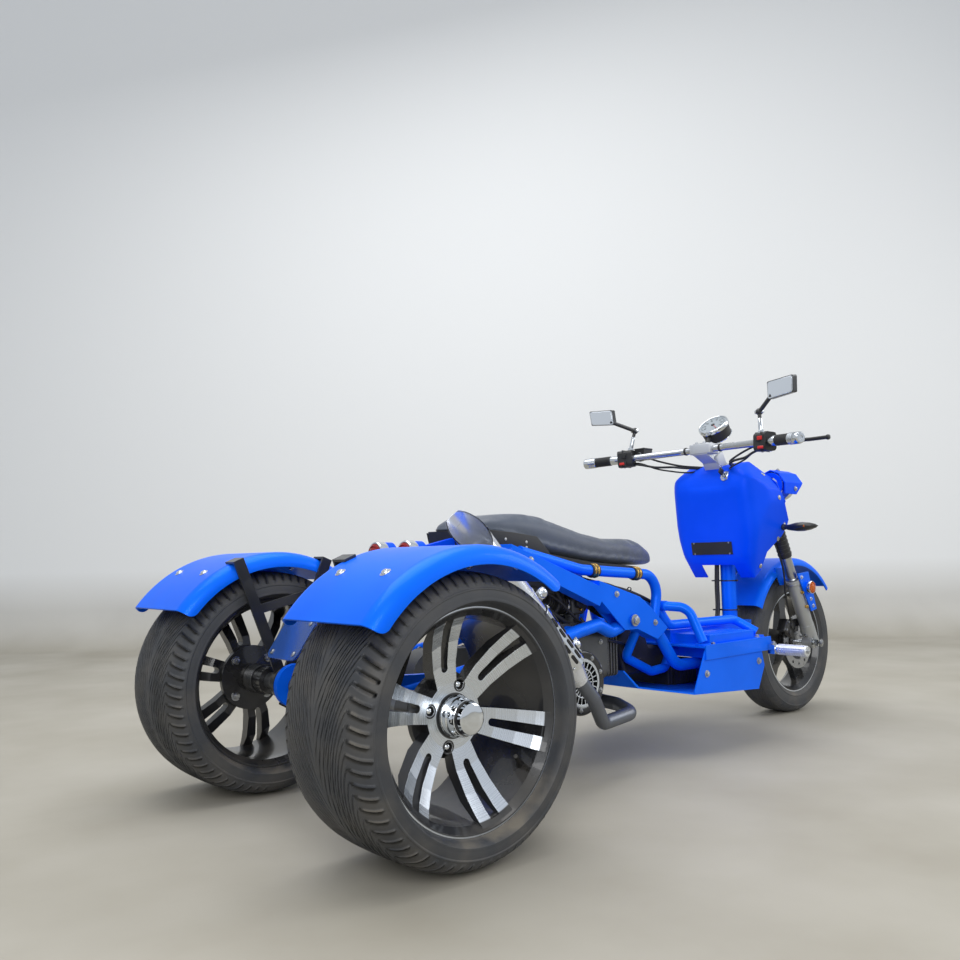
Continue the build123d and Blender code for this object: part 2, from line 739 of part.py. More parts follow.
def tail_bracket():
    # Cross bar behind the seat with two round lamps, and a bare plate below it
    bar_x = from_rear(196)
    with BuildPart() as tail:
        with BuildSketch(Plane.YZ.offset(bar_x)):
            with Locations((0, 545)):
                Rectangle(170, 30)
            with Locations((0, 470)):
                Rectangle(60, 150)
        extrude(amount=6)
        with BuildSketch(side_plane(0)):
            Polygon((from_rear(196), 400), (from_rear(202), 400), (from_rear(343.5), 549), (from_rear(335), 588),
                    (from_rear(202), 560), (from_rear(196), 530), align=None)
        extrude(amount=8, both=True)
        for side in SIDES.values():
            with BuildSketch(Plane.YZ.offset(bar_x)):
                with Locations((side * 58, 552)):
                    Circle(27)
            extrude(amount=-42)
        with BuildSketch(side_plane(0)):
            Polygon((from_rear(196), 430), (from_rear(202), 408), (from_rear(-84), 376), (from_rear(-90), 384),
                    (from_rear(60), 415), align=None)
        extrude(amount=10, both=True)
        with BuildSketch(Plane(origin=(from_rear(-90), 0, 376), x_dir=(0, 1, 0), z_dir=(-0.82, 0, 0.57))):
            RectangleRounded(116, 96, 26)
        extrude(amount=4)
    write_piece(tail, "tail_bracket")


def foot_peg(name, side):
    peg = (from_front(-484), side * (deck_half + fit), deck_z - 30)
    with BuildPart() as peg_bar:
        with BuildSketch(Plane(origin=peg, z_dir=(0, side, 0))):
            Rectangle(26, 30)
        extrude(amount=22)
        with BuildSketch(Plane(origin=(peg[0], side * (deck_half + 20), peg[2]), z_dir=(0, side, 0))):
            Circle(13)
        extrude(amount=96)
    write_piece(peg_bar, name)


def wheel_disc(profile, centre):
    # A closed outline of radius and side distance, turned about the wheel's axis
    with BuildPart() as turned:
        with BuildSketch(Plane(origin=centre, x_dir=(0, 0, 1), z_dir=(-1, 0, 0))):
            Polygon(*profile, align=None)
        revolve(axis=Axis(centre, (0, 1, 0)))
    return turned.part


def tyre(name, centre, radius, half, lip_radius, lip_half):
    shoulder = radius * 0.06
    outline = [(lip_radius + fit, -lip_half), (lip_radius + 12, -half * 0.92), (radius - 3 * shoulder, -half),
               (radius - shoulder, -half * 0.94), (radius, -half * 0.66), (radius, half * 0.66),
               (radius - shoulder, half * 0.94), (radius - 3 * shoulder, half), (lip_radius + 12, half * 0.92),
               (lip_radius + fit, lip_half), (lip_radius + fit, lip_half - 14.4),
               (lip_radius - 10 + fit, lip_half - 20.4), (lip_radius - 10 + fit, 20.4 - lip_half),
               (lip_radius + fit, 14.4 - lip_half)]
    with BuildPart() as ring:
        add(wheel_disc(outline, centre))
    write_piece(ring, name)


def barrel_outline(lip, half):
    # Rolled lips with the tyre's seat between them
    return [(lip, -half), (lip, 14 - half), (lip - 10, 20 - half), (lip - 10, half - 20), (lip, half - 14), (lip, half),
            (lip - 5, half), (lip - 16, half - 16), (lip - 16, 16 - half), (lip - 5, -half)]


def rear_rim(name, side):
    # Barrel with twin slotted spokes dished inward, a hub and a centre cap
    centre = Vector(0, 0, 0)
    face = rear_lip_half
    hub = face - rear_face_depth
    dish = [(0, hub), (58, hub), (95, hub + 6), (135, hub + 22), (165, hub + 40), (rear_lip_radius - 8, face - 4),
            (rear_lip_radius - 12, face - 22), (150, hub + 4), (100, hub - 22), (58, hub - 24), (0, hub - 24)]
    hub_back = [(0, hub - 24), (77, hub - 24), (77, hub - 36), (32, hub - 40), (32, -hub_inner), (0, -hub_inner)]
    cap = [(0, hub + cap_length), (cap_radius - 4, hub + cap_length), (cap_radius, hub + cap_length - 8),
           (cap_radius + 4, hub), (0, hub)]
    with BuildPart() as rim:
        add(wheel_disc(dish, centre))
        with BuildSketch(Plane.XZ.offset(150)):
            Circle(60)
            for spoke in range(wheel_spokes):
                angle = radians(spoke_turn + 360 / wheel_spokes * spoke)
                with Locations(Location((0, 0, 0), degrees(angle))):
                    Polygon((40, -21), (190, -37), (190, 37), (40, 21), align=None)
            for spoke in range(wheel_spokes):
                angle = radians(spoke_turn + 360 / wheel_spokes * spoke)
                with Locations((slot_start * cos(angle), slot_start * sin(angle))):
                    Circle(slot_half, mode=Mode.SUBTRACT)
                with Locations(Location((0, 0, 0), degrees(angle))):
                    Polygon((slot_start, -slot_half), (slot_end, -slot_half - 3), (slot_end, slot_half + 3),
                            (slot_start, slot_half), align=None, mode=Mode.SUBTRACT)
        extrude(amount=-300, mode=Mode.INTERSECT)
        add(wheel_disc(barrel_outline(rear_lip_radius, rear_lip_half), centre))
        add(wheel_disc(hub_back, centre))
        add(wheel_disc(cap, centre))
        with BuildSketch(Plane.XZ.offset(-(hub + 60))):
            for lug in range(4):
                angle = radians(spoke_turn + 90 * lug)
                with Locations((lug_circle / 2 * cos(angle), lug_circle / 2 * sin(angle))):
                    Circle(lug_radius)
        extrude(amount=75, mode=Mode.SUBTRACT)
        with BuildSketch(Plane.XZ.offset(100)):
            Circle(spindle_radius + fit)
        extrude(amount=-(100 + 62), mode=Mode.SUBTRACT)
    turned = rim.part if side > 0 else rim.part.mirror(Plane.XZ)
    with BuildPart() as placed:
        add(turned.moved(Location((rear_axle_x, side * wheel_y, rear_axle_z))))
    write_piece(placed, name)


def front_rim():
    centre = Vector(0, 0, 0)
    lip = front_lip_radius
    half = front_lip_half
    disc = [(0, 13), (34, 13), (lip - 10, 10), (lip - 10, -10), (34, -13), (0, -13)]
    hub = [(0, 48), (26, 48), (30, 13), (30, -13), (26, -48), (0, -48)]
    with BuildPart() as rim:
        add(wheel_disc(disc, centre))
        with BuildSketch(Plane.XZ.offset(80)):
            Circle(44)
            for spoke in range(front_spokes):
                with Locations(Location((0, 0, 0), 90 + 360 / front_spokes * spoke)):
                    Polygon((30, -30), (100, -17), (lip - 12, -26), (lip - 12, 26), (100, 17), (30, 30), align=None)
        extrude(amount=-160, mode=Mode.INTERSECT)
        add(wheel_disc(barrel_outline(lip, half), centre))
        add(wheel_disc(hub, centre))
        with BuildSketch(Plane.XZ.offset(80)):
            Circle(front_axle_radius + fit)
        extrude(amount=-160, mode=Mode.SUBTRACT)
    with BuildPart() as placed:
        add(rim.part.moved(Location((front_axle_x, 0, front_axle_z))))
    write_piece(placed, "front_rim")


def brake_disc():
    with BuildPart() as disc:
        with BuildSketch(side_plane(disc_y + disc_thickness)):
            with Locations((front_axle_x, front_axle_z)):
                Circle(disc_radius)
                Circle(disc_radius - 30, mode=Mode.SUBTRACT)
                with PolarLocations(disc_radius - 15, 12):
                    Circle(5, mode=Mode.SUBTRACT)
        extrude(amount=disc_thickness)
        with BuildSketch(side_plane(disc_y + disc_thickness)):
            with Locations((front_axle_x, front_axle_z)):
                Circle(34)
                Circle(front_axle_radius + fit, mode=Mode.SUBTRACT)
                with PolarLocations(46, 5):
                    Rectangle(36, 14)
        extrude(amount=disc_thickness)
        with BuildSketch(side_plane(-48 - fit)):
            with Locations((front_axle_x, front_axle_z)):
                Circle(24)
                Circle(front_axle_radius + fit, mode=Mode.SUBTRACT)
        extrude(amount=14)
    write_piece(disc, "brake_disc")


def fork():
    # Crown and stem, the two legs, and the wheel axle between them
    crown_z = 648
    with BuildPart() as crown:
        with BuildSketch(Plane(origin=(steering_x(crown_z), 0, crown_z), x_dir=(0, 1, 0), z_dir=axis_up)):
            Circle(30)
            for side in SIDES.values():
                with Locations((side * fork_spread, -fork_offset)):
                    Circle(27)
            make_hull()
        extrude(amount=16)
        with BuildSketch(Plane(origin=(steering_x(crown_z), 0, crown_z), z_dir=axis_up)):
            Circle(stem_radius)
        extrude(amount=(stem_top - crown_z) / cos(radians(rake)))
        for side in SIDES.values():
            with BuildSketch(Plane(origin=(leg_x(crown_z), side * fork_spread, crown_z), z_dir=axis_up)):
                Circle(16 + fit)
            extrude(amount=30, mode=Mode.SUBTRACT)
    write_piece(crown, "fork_crown")

    # Each leg, from its axle lug up: z of the start, z of the end, radius
    leg_steps = [(228, 300, 24), (300, 436, 23), (436, 452, fork_collar), (452, 530, 16.5), (530, 652, 21), (652, 672, 16)]
    for side_name, side in SIDES.items():
        with BuildPart() as leg:
            for low, high, radius in leg_steps:
                origin = (leg_x(low), side * fork_spread, low)
                with BuildSketch(Plane(origin=origin, z_dir=axis_up)):
                    Circle(radius)
                extrude(amount=(high - low) / cos(radians(rake)))
            with BuildSketch(side_plane(side * (fork_spread + 16))):
                with Locations((front_axle_x, front_axle_z)):
                    Circle(20)
            extrude(amount=side * 32)
            with BuildSketch(side_plane(side * (fork_spread + 60))):
                with Locations((front_axle_x, front_axle_z)):
                    Circle(front_axle_radius + fit)
            extrude(amount=side * 120, mode=Mode.SUBTRACT)
        write_piece(leg, f"{side_name}_fork_leg")

    with BuildPart() as axle:
        with BuildSketch(side_plane(-(fork_spread + 34))):
            with Locations((front_axle_x, front_axle_z)):
                Circle(front_axle_radius)
        extrude(amount=-2 * (fork_spread + 34))
        for side in SIDES.values():
            with BuildSketch(side_plane(side * (fork_spread + 34))):
                with Locations((front_axle_x, front_axle_z)):
                    RegularPolygon(12, 6)
            extrude(amount=side * 9)
    write_piece(axle, "front_axle")


def front_fender():
    # Narrow arch over the front tyre, carried by ears to the fork legs
    radius = 284
    half = 74
    start = radians(152)
    centre = Vector(front_axle_x, 0, front_axle_z)
    with BuildPart() as fender:
        with BuildSketch(Plane(origin=centre, x_dir=(0, 1, 0), z_dir=(sin(start), 0, -cos(start)))):
            with BuildLine():
                FilletPolyline((-half, radius - 26), (-half, radius), (half, radius), (half, radius - 26), radius=22)
                FilletPolyline((-half + 4, radius - 26), (-half + 4, radius - 4), (half - 4, radius - 4),
                               (half - 4, radius - 26), radius=18)
                Line((-half, radius - 26), (-half + 4, radius - 26))
                Line((half, radius - 26), (half - 4, radius - 26))
            make_face()
        revolve(axis=Axis(centre, (0, 1, 0)), revolution_arc=112)
        for side in SIDES.values():
            with BuildSketch(side_plane(side * half)):
                Polygon((leg_x(444) - 26, 432), (leg_x(444) + 26, 432), (leg_x(500) + 44, 490), (leg_x(500) - 30, 490),
                        align=None)
            extrude(amount=side * 4)
            with BuildSketch(side_plane(side * (half - 2))):
                with Locations((leg_x(444), 444)):
                    Circle(11)
            extrude(amount=-side * (fork_spread - fork_collar - fit - half + 2))
    write_piece(fender, "front_fender")


def handlebar():
    bar_z = 876
    grip_x = from_front(-528)
    points = [(grip_x, -391, bar_z - 16), (from_front(-414), -80, bar_z), (from_front(-414), 80, bar_z),
              (grip_x, 391, bar_z - 16)]
    foot = Vector(steering_x(stem_top), 0, stem_top) + axis_up * fit
    with BuildPart() as bar:
        add(bent_tube(points, 80, 22))
        with BuildSketch(Plane(origin=foot, x_dir=(0, 1, 0), z_dir=axis_up)):
            Rectangle(56, 44)
        extrude(amount=14)
        with BuildSketch(side_plane(-24)):
            Polygon((foot.X + 20, foot.Z + 14), (foot.X - 22, foot.Z + 1), (from_front(-430), bar_z - 16),
                    (from_front(-434), bar_z + 18), (from_front(-376), bar_z + 18), (from_front(-330), foot.Z + 30),
                    align=None)
        extrude(amount=-48)
    write_piece(bar, "handlebar")


def bar_point(y):
    # A point on the straight outer run of the handlebar
    share = (abs(y) - 80) / (391 - 80)
    return (from_front(-414) - 114 * share, y, 876 - 16 * share)


def controls(side_name, side):
    inner = Vector(*bar_point(side * 238))
    outer = Vector(*bar_point(side * 286))
    tip = Vector(*bar_point(side * 398))
    with BuildPart() as switch:
        with BuildSketch(Plane(origin=inner, x_dir=(0, 0, 1), z_dir=outer - inner)):
            RectangleRounded(56, 44, 12)
            Circle(11 + fit, mode=Mode.SUBTRACT)
        extrude(amount=(outer - inner).length - 1)
        with Locations(Location((inner.X + 46, side * 232, inner.Z + 14))):
            Box(44, 40, 34)
        with Locations(Location((inner.X + 34, side * 240, inner.Z + 6))):
            Box(34, 20, 22)
        lever = [(inner.X + 50, side * 250, inner.Z + 4), (inner.X + 58, side * 300, inner.Z + 2),
                 (inner.X + 34, side * 380, inner.Z - 4), (inner.X + 18, side * 440, inner.Z - 6)]
        add(bent_tube(lever, [60, 120], 11))
    write_piece(switch, f"{side_name}_controls")
    with BuildPart() as grip:
        with BuildSketch(Plane(origin=outer, z_dir=tip - outer)):
            Circle(16.5)
            Circle(11 + fit, mode=Mode.SUBTRACT)
        extrude(amount=(tip - outer).length)
        with BuildSketch(Plane(origin=tip, z_dir=tip - outer)):
            Circle(18)
        extrude(amount=16)
    write_piece(grip, f"{side_name}_grip")


def mirror_arm(side_name, side):
    base = Vector(bar_point(247)[0], side * 247, 897)
    joint = Vector(from_front(-462), side * 237, 962)
    head = Vector(from_front(-505), side * 306, 998)
    with BuildPart() as arm:
        add(straight_tube(base, joint, 11))
        with Locations(Location(joint)):
            Sphere(11)
        add(straight_tube(joint, head, 13))
        plate = Plane(origin=head + Vector(0, side * 32, 18), x_dir=(0, -1, -0.1 * side), z_dir=(-0.98, -0.15 * side, -0.1))
        with BuildSketch(plate) as glass:
            with BuildLine():
                Polyline((side * 48, -26), (side * -42, -26), (side * -52, 24), (side * 40, 26), close=True)
            make_face()
            fillet(glass.vertices(), radius=5)
        extrude(amount=9, both=True)
    write_piece(arm, f"{side_name}_mirror")


def speedometer():
    dial = Vector(from_front(-346), 0, 954)
    dial_tilt = 40
    facing = Vector(-sin(radians(dial_tilt)), 0, cos(radians(dial_tilt)))
    with BuildPart() as dial_cup:
        with BuildSketch(Plane(origin=dial, z_dir=facing)):
            Circle(47)
        extrude(amount=-38, taper=6)
        with BuildSketch(Plane(origin=dial, z_dir=facing)):
            Circle(50)
        extrude(amount=10)
        add(bent_tube([(from_front(-386), 0, 894 + fit), (from_front(-386), 0, 909), (from_front(-350), 0, 926)], 7, 14))
    write_piece(dial_cup, "speedometer")


def front_signal(side_name, side):
    # Stubby arm from the side of the box with a swept-back pointed lamp
    root = (from_front(-214), side * (box_side(629) + fit), 622)
    arm_end = 184
    blade = [(-30, 0), (26, side * 4), (50, side * 34), (30, side * 84), (-6, side * 52)]
    with BuildPart() as signal:
        with BuildSketch(Plane(origin=root, x_dir=(1, 0, 0), z_dir=(0, side, 0))):
            Rectangle(14, 14)
        extrude(amount=44)
        with BuildSketch(Plane(origin=(root[0], side * arm_end, root[2] - 8))):
            Polygon(*blade[::side], align=None)
        extrude(amount=15, taper=9)
    write_piece(signal, f"{side_name}_front_signal")


def fork_bracket(side_name, side):
    # Triangular plate outside the fork leg that carries a round side lamp
    outer = fork_spread + fork_collar + fit
    with BuildPart() as bracket:
        with BuildSketch(side_plane(side * outer)):
            Polygon((leg_x(470) - 12, 470), (leg_x(452) + 50, 476), (leg_x(360) + 48, 350), (leg_x(360) + 14, 344),
                    align=None)
        extrude(amount=-side * 4)
        with BuildSketch(side_plane(side * (outer + 4))):
            with Locations((leg_x(420) + 22, 424)):
                Circle(21)
        extrude(amount=-side * 14)
    write_piece(bracket, f"{side_name}_fork_bracket")


deck_tubes()
deck()
belly_pan()
steering_post()
front_box()
front_panel()
headlamps()
seat()
seat_cowl()
engine()
fan_cover()
fuel_tank()
exhaust()
rear_axle()
tail_bracket()
front_rim()
brake_disc()
fork()
front_fender()
handlebar()
speedometer()
tyre("front_tyre", Vector(front_axle_x, 0, front_axle_z), front_tyre_radius, front_tyre_width / 2,
     front_lip_radius, front_lip_half)
for side_name, side in SIDES.items():
    side_frame(f"{side_name}_side_frame", side)
    swing_arm(f"{side_name}_swing_arm", side)
    rear_fender(f"{side_name}_rear_fender", side)
    fender_struts(f"{side_name}_fender_struts", side)
    foot_peg(f"{side_name}_foot_peg", side)
    rear_rim(f"{side_name}_rear_rim", side)
    tyre(f"{side_name}_rear_tyre", Vector(rear_axle_x, side * wheel_y, rear_axle_z), rear_tyre_radius,
         rear_tyre_width / 2, rear_lip_radius, rear_lip_half)
    controls(side_name, side)
    mirror_arm(side_name, side)
    front_signal(side_name, side)
    fork_bracket(side_name, side)
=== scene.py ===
import bpy
import bmesh
import math
import random
from mathutils.bvhtree import BVHTree
from mathutils import Matrix, Vector


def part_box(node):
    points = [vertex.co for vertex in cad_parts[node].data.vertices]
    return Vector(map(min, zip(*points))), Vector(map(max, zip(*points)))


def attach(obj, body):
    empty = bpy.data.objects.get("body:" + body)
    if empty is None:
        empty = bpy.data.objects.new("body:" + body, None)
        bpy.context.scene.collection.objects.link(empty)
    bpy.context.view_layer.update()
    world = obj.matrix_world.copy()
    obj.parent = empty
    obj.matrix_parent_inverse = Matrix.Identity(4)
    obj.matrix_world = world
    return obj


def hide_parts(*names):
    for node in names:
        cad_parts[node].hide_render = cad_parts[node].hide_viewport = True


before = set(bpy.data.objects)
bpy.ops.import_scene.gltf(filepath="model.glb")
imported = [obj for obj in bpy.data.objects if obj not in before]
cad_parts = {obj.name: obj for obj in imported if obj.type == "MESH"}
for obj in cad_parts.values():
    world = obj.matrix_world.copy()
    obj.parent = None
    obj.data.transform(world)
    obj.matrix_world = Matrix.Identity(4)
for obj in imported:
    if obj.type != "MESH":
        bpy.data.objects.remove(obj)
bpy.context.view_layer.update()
scene = bpy.context.scene
scene.view_settings.view_transform = "Standard"
random.seed(11)
print("frame loaded")


def middleOf(node):
    low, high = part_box(node)
    return (Vector(low) + Vector(high)) / 2


# Places that come from the frame: the wheels' middles and how far apart they are
rearAxle = Vector((middleOf("right_rear_rim").x, 0, middleOf("right_rear_rim").z))
frontAxle = Vector((middleOf("front_rim").x, 0, middleOf("front_rim").z))
wheelSide = abs(middleOf("right_rear_rim").y)
sides = {"right": -1, "left": 1}


def rearPoint(x, y, z):
    # A place given in metres ahead of the rear axle, to the left, and above the floor
    return Vector((rearAxle.x + x, y, z))


def frontPoint(x, y, z):
    # The same, but ahead of the front axle
    return Vector((frontAxle.x + x, y, z))


def wheelHub(turn):
    # The middle of a rear wheel: turn is -1 on the right and 1 on the left
    return rearAxle + Vector((0, turn * wheelSide, 0))


def placeCamera():
    eye = {"x": -1.008, "y": -1.6498, "z": 0.5338, "yaw": 48.95, "pitch": 5.209, "roll": -1.027, "lens": 32.93}
    yaw, pitch, roll = (math.radians(eye[k]) for k in ("yaw", "pitch", "roll"))
    forward = Vector((math.cos(yaw) * math.cos(pitch), math.sin(yaw) * math.cos(pitch), math.sin(pitch)))
    right = Vector((math.sin(yaw), -math.cos(yaw), 0))
    up = right.cross(forward)
    tiltedRight = math.cos(roll) * right + math.sin(roll) * up
    tiltedUp = -math.sin(roll) * right + math.cos(roll) * up
    camera = bpy.data.objects.new("photoCamera", bpy.data.cameras.new("photoCamera"))
    scene.collection.objects.link(camera)
    turn = Matrix((tiltedRight, tiltedUp, -forward)).transposed().to_4x4()
    camera.matrix_world = Matrix.Translation(rearPoint(eye["x"], eye["y"], eye["z"])) @ turn
    camera.data.lens = eye["lens"]
    camera.data.sensor_width = 36
    camera.data.clip_start, camera.data.clip_end = 0.05, 60
    scene.camera = camera


placeCamera()


def studio():
    lamps = [
        # name, place, aim, size, watts
        ("skySoft", (-0.6, 0.4, 4.2), (0, 0, 0.3), 3.6, 118),
        ("sideSoft", (-3.2, -3.4, 2.4), (0, 0, 0.4), 2.4, 82),
        ("frontSoft", (3.4, -2.6, 2.6), (0.3, 0, 0.4), 2.2, 50),
    ]
    for name, place, aim, size, watts in lamps:
        lamp = bpy.data.lights.new(name, "AREA")
        lamp.shape = "SQUARE"
        lamp.size = size
        lamp.energy = watts
        holder = bpy.data.objects.new(name, lamp)
        holder.location = place
        holder.rotation_euler = (Vector(aim) - Vector(place)).to_track_quat("-Z", "Y").to_euler()
        scene.collection.objects.link(holder)
    world = bpy.data.worlds.new("studioWorld")
    scene.world = world
    world.use_nodes = True
    world.node_tree.nodes["Background"].inputs["Color"].default_value = (0.88, 0.93, 1.0, 1)
    world.node_tree.nodes["Background"].inputs["Strength"].default_value = 0.72


studio()


# Finishes


def tint(red, green, blue):
    # A colour as read off a screen, 0 to 255, turned into the shader's own numbers
    linear = [(c / 255 / 12.92) if c < 11 else ((c / 255 + 0.055) / 1.055) ** 2.4 for c in (red, green, blue)]
    return (*linear, 1)


def makeGroup(name, inputs, outputs):
    group = bpy.data.node_groups.new(name, "ShaderNodeTree")
    for label, value in inputs:
        group.interface.new_socket(label, in_out="INPUT", socket_type="NodeSocketFloat").default_value = value
    for label, kind in outputs:
        group.interface.new_socket(label, in_out="OUTPUT", socket_type=kind)
    return group, group.nodes.new("NodeGroupInput"), group.nodes.new("NodeGroupOutput")


def feed(tree, socket, value):
    # Sets a socket to a number or a colour, or links it to another node's output
    if isinstance(value, (int, float, tuple)):
        socket.default_value = value
    elif value is not None:
        tree.links.new(value, socket)


def calc(tree, kind, first, second=None, clamp=False):
    node = tree.nodes.new("ShaderNodeMath")
    node.operation = kind
    node.use_clamp = clamp
    feed(tree, node.inputs[0], first)
    feed(tree, node.inputs[1], second)
    return node.outputs[0]


def spanOf(tree, value, low, high, toLow=0.0, toHigh=1.0):
    # A value's range moved onto another range
    node = tree.nodes.new("ShaderNodeMapRange")
    for label, number in (("Value", value), ("From Min", low), ("From Max", high), ("To Min", toLow),
            ("To Max", toHigh)):
        feed(tree, node.inputs[label], number)
    return node.outputs["Result"]


def noiseOf(tree, scale, detail=4.0, vector=None):
    node = tree.nodes.new("ShaderNodeTexNoise")
    feed(tree, node.inputs["Vector"], vector or tree.nodes.new("ShaderNodeTexCoord").outputs["Object"])
    feed(tree, node.inputs["Scale"], scale)
    feed(tree, node.inputs["Detail"], detail)
    return node.outputs["Fac"]


def edgeGroup():
    # Rounds hard edges in the light, and finds them for wear and for painted edge highlights
    group, given, out = makeGroup("roundedEdge", [("Radius", 0.0015)],
        [("Edge", "NodeSocketFloat"), ("Normal", "NodeSocketVector")])
    bevel = group.nodes.new("ShaderNodeBevel")
    bevel.samples = 4
    flat = group.nodes.new("ShaderNodeNewGeometry")
    dot = group.nodes.new("ShaderNodeVectorMath")
    dot.operation = "DOT_PRODUCT"
    group.links.new(given.outputs["Radius"], bevel.inputs["Radius"])
    group.links.new(bevel.outputs["Normal"], dot.inputs[0])
    group.links.new(flat.outputs["Normal"], dot.inputs[1])
    edge = spanOf(group, dot.outputs["Value"], 0.97, 0.72)
    group.links.new(edge, out.inputs["Edge"])
    group.links.new(bevel.outputs["Normal"], out.inputs["Normal"])
    return group


def dustGroup():
    # Dust lies on what faces up, and more of it near the floor
    group, given, out = makeGroup("dustFall", [("Amount", 0.2), ("Scale", 14.0)], [("Mask", "NodeSocketFloat")])
    split = group.nodes.new("ShaderNodeSeparateXYZ")
    group.links.new(group.nodes.new("ShaderNodeNewGeometry").outputs["Normal"], split.inputs[0])
    place = group.nodes.new("ShaderNodeSeparateXYZ")
    group.links.new(group.nodes.new("ShaderNodeTexCoord").outputs["Object"], place.inputs[0])
    facing = spanOf(group, split.outputs["Z"], 0.1, 0.95, 0.25, 1.0)
    low = spanOf(group, place.outputs["Z"], 0.05, 0.55, 1.0, 0.3)
    patches = spanOf(group, noiseOf(group, given.outputs["Scale"], 6.0), 0.42, 0.68)
    mask = calc(group, "MULTIPLY", calc(group, "MULTIPLY", facing, low),
        calc(group, "MULTIPLY", patches, given.outputs["Amount"]), True)
    group.links.new(mask, out.inputs["Mask"])
    return group


def grainGroup():
    # Fine unevenness for bump and gloss, with a broad drift for the colour
    group, given, out = makeGroup("fineGrain", [("Scale", 300.0), ("Drift", 5.0)],
        [("Fine", "NodeSocketFloat"), ("Broad", "NodeSocketFloat")])
    group.links.new(noiseOf(group, given.outputs["Scale"], 3.0), out.inputs["Fine"])
    group.links.new(noiseOf(group, given.outputs["Drift"], 5.0), out.inputs["Broad"])
    return group


shared = {"edge": edgeGroup(), "dust": dustGroup(), "grain": grainGroup()}


def placeGroup(tree, key, **values):
    node = tree.nodes.new("ShaderNodeGroup")
    node.node_tree = shared[key]
    for label, value in values.items():
        node.inputs[label].default_value = value
    return node


def mixTint(tree, factor, first, second):
    node = tree.nodes.new("ShaderNodeMix")
    node.data_type = "RGBA"
    for place, value in ((0, factor), (6, first), (7, second)):
        feed(tree, node.inputs[place], value)
    return node.outputs[2]


finishes = {}


def finish(name, colour, rough, metal=0.0, coat=0.0, drift=0.12, grain=(300.0, 0.00012), edge=(0.0015, 0.12, None),
        dust=0.12, sheen=0.0, roughSpread=0.08, dustTint=(150, 140, 122), shine=0.5):
    # One worked surface: drift of colour, edges worn or lit with a painted highlight, dust, uneven gloss and a fine
    # bump
    material = bpy.data.materials.new(name)
    material.use_nodes = True
    tree = material.node_tree
    shader = tree.nodes["Principled BSDF"]
    colour = tint(*colour)
    deep = tuple(c * (1 - drift) for c in colour[:3]) + (1,)
    pale = tuple(min(1.0, c * (1 + drift) + 0.004) for c in colour[:3]) + (1,)
    grainNode = placeGroup(tree, "grain", Scale=grain[0], Drift=4.5)
    surface = mixTint(tree, spanOf(tree, grainNode.outputs["Broad"], 0.35, 0.65), deep, pale)
    edgeNode = placeGroup(tree, "edge", Radius=edge[0])
    # The edge tint is wear on most finishes and a painted highlight on the blue ones
    wearAndHighlightTint = tint(*edge[2]) if edge[2] else pale
    wearAndHighlightMask = calc(tree, "MULTIPLY", edgeNode.outputs["Edge"], spanOf(tree, grainNode.outputs["Fine"], 0.45, 0.62, 0.0,
        edge[1]))
    surface = mixTint(tree, wearAndHighlightMask, surface, wearAndHighlightTint)
    dustNode = placeGroup(tree, "dust", Amount=dust, Scale=14.0)
    surface = mixTint(tree, dustNode.outputs["Mask"], surface, tint(*dustTint))
    tree.links.new(surface, shader.inputs["Base Color"])
    gloss = spanOf(tree, grainNode.outputs["Broad"], 0.3, 0.7, max(0.02, rough - roughSpread), rough + roughSpread)
    gloss = calc(tree, "ADD", gloss, calc(tree, "MULTIPLY", dustNode.outputs["Mask"], 0.5), True)
    tree.links.new(gloss, shader.inputs["Roughness"])
    bump = tree.nodes.new("ShaderNodeBump")
    bump.inputs["Strength"].default_value = 1.0
    bump.inputs["Distance"].default_value = grain[1]
    tree.links.new(grainNode.outputs["Fine"], bump.inputs["Height"])
    tree.links.new(edgeNode.outputs["Normal"], bump.inputs["Normal"])
    tree.links.new(bump.outputs["Normal"], shader.inputs["Normal"])
    shader.inputs["Metallic"].default_value = metal
    shader.inputs["Specular IOR Level"].default_value = shine
    shader.inputs["Coat Weight"].default_value = coat
    shader.inputs["Coat Roughness"].default_value = 0.04
    if sheen:
        shader.inputs["Sheen Weight"].default_value = sheen
        shader.inputs["Sheen Roughness"].default_value = 0.4
    finishes[name] = material


# On both blue finishes the paler blue along the edges is a painted highlight, not wear
finish("bluePaint", (0, 104, 250), 0.36, metal=0.2, coat=0.08, drift=0.08, grain=(260.0, 0.00003),
    edge=(0.002, 0.3, (70, 160, 255)), dust=0.01, roughSpread=0.05, shine=0.08)
finish("bluePlastic", (0, 80, 255), 0.42, metal=0.1, coat=0.03, drift=0.08, grain=(420.0, 0.00008),
    edge=(0.003, 0.25, (70, 165, 255)), dust=0.01, shine=0.06)
finish("blackPaint", (26, 28, 31), 0.32, coat=0.3, drift=0.2, grain=(340.0, 0.00006),
    edge=(0.0015, 0.5, (120, 122, 124)), dust=0.3)
finish("blackPlastic", (27, 28, 30), 0.5, drift=0.2, grain=(620.0, 0.0003), edge=(0.0012, 0.3, (92, 94, 96)),
    dust=0.35)
finish("gripRubber", (24, 24, 26), 0.62, drift=0.2, grain=(900.0, 0.0003), edge=(0.0008, 0.3, (80, 80, 82)),
    dust=0.25, sheen=0.2)
finish("tyreRubber", (52, 54, 58), 0.55, drift=0.22, grain=(750.0, 0.00025), edge=(0.001, 0.6, (116, 118, 120)),
    dust=0.55, roughSpread=0.12)
finish("chrome", (214, 218, 222), 0.07, metal=1.0, drift=0.05, grain=(90.0, 0.00001),
    edge=(0.0008, 0.1, (240, 240, 240)), dust=0.1, roughSpread=0.04)
finish("forkAlloy", (176, 178, 177), 0.42, metal=0.55, drift=0.1, grain=(700.0, 0.00015),
    edge=(0.0015, 0.4, (205, 206, 204)), dust=0.2)
finish("castAlloy", (190, 193, 197), 0.46, metal=0.35, drift=0.1, grain=(520.0, 0.00012),
    edge=(0.0012, 0.5, (226, 228, 230)), dust=0.12)
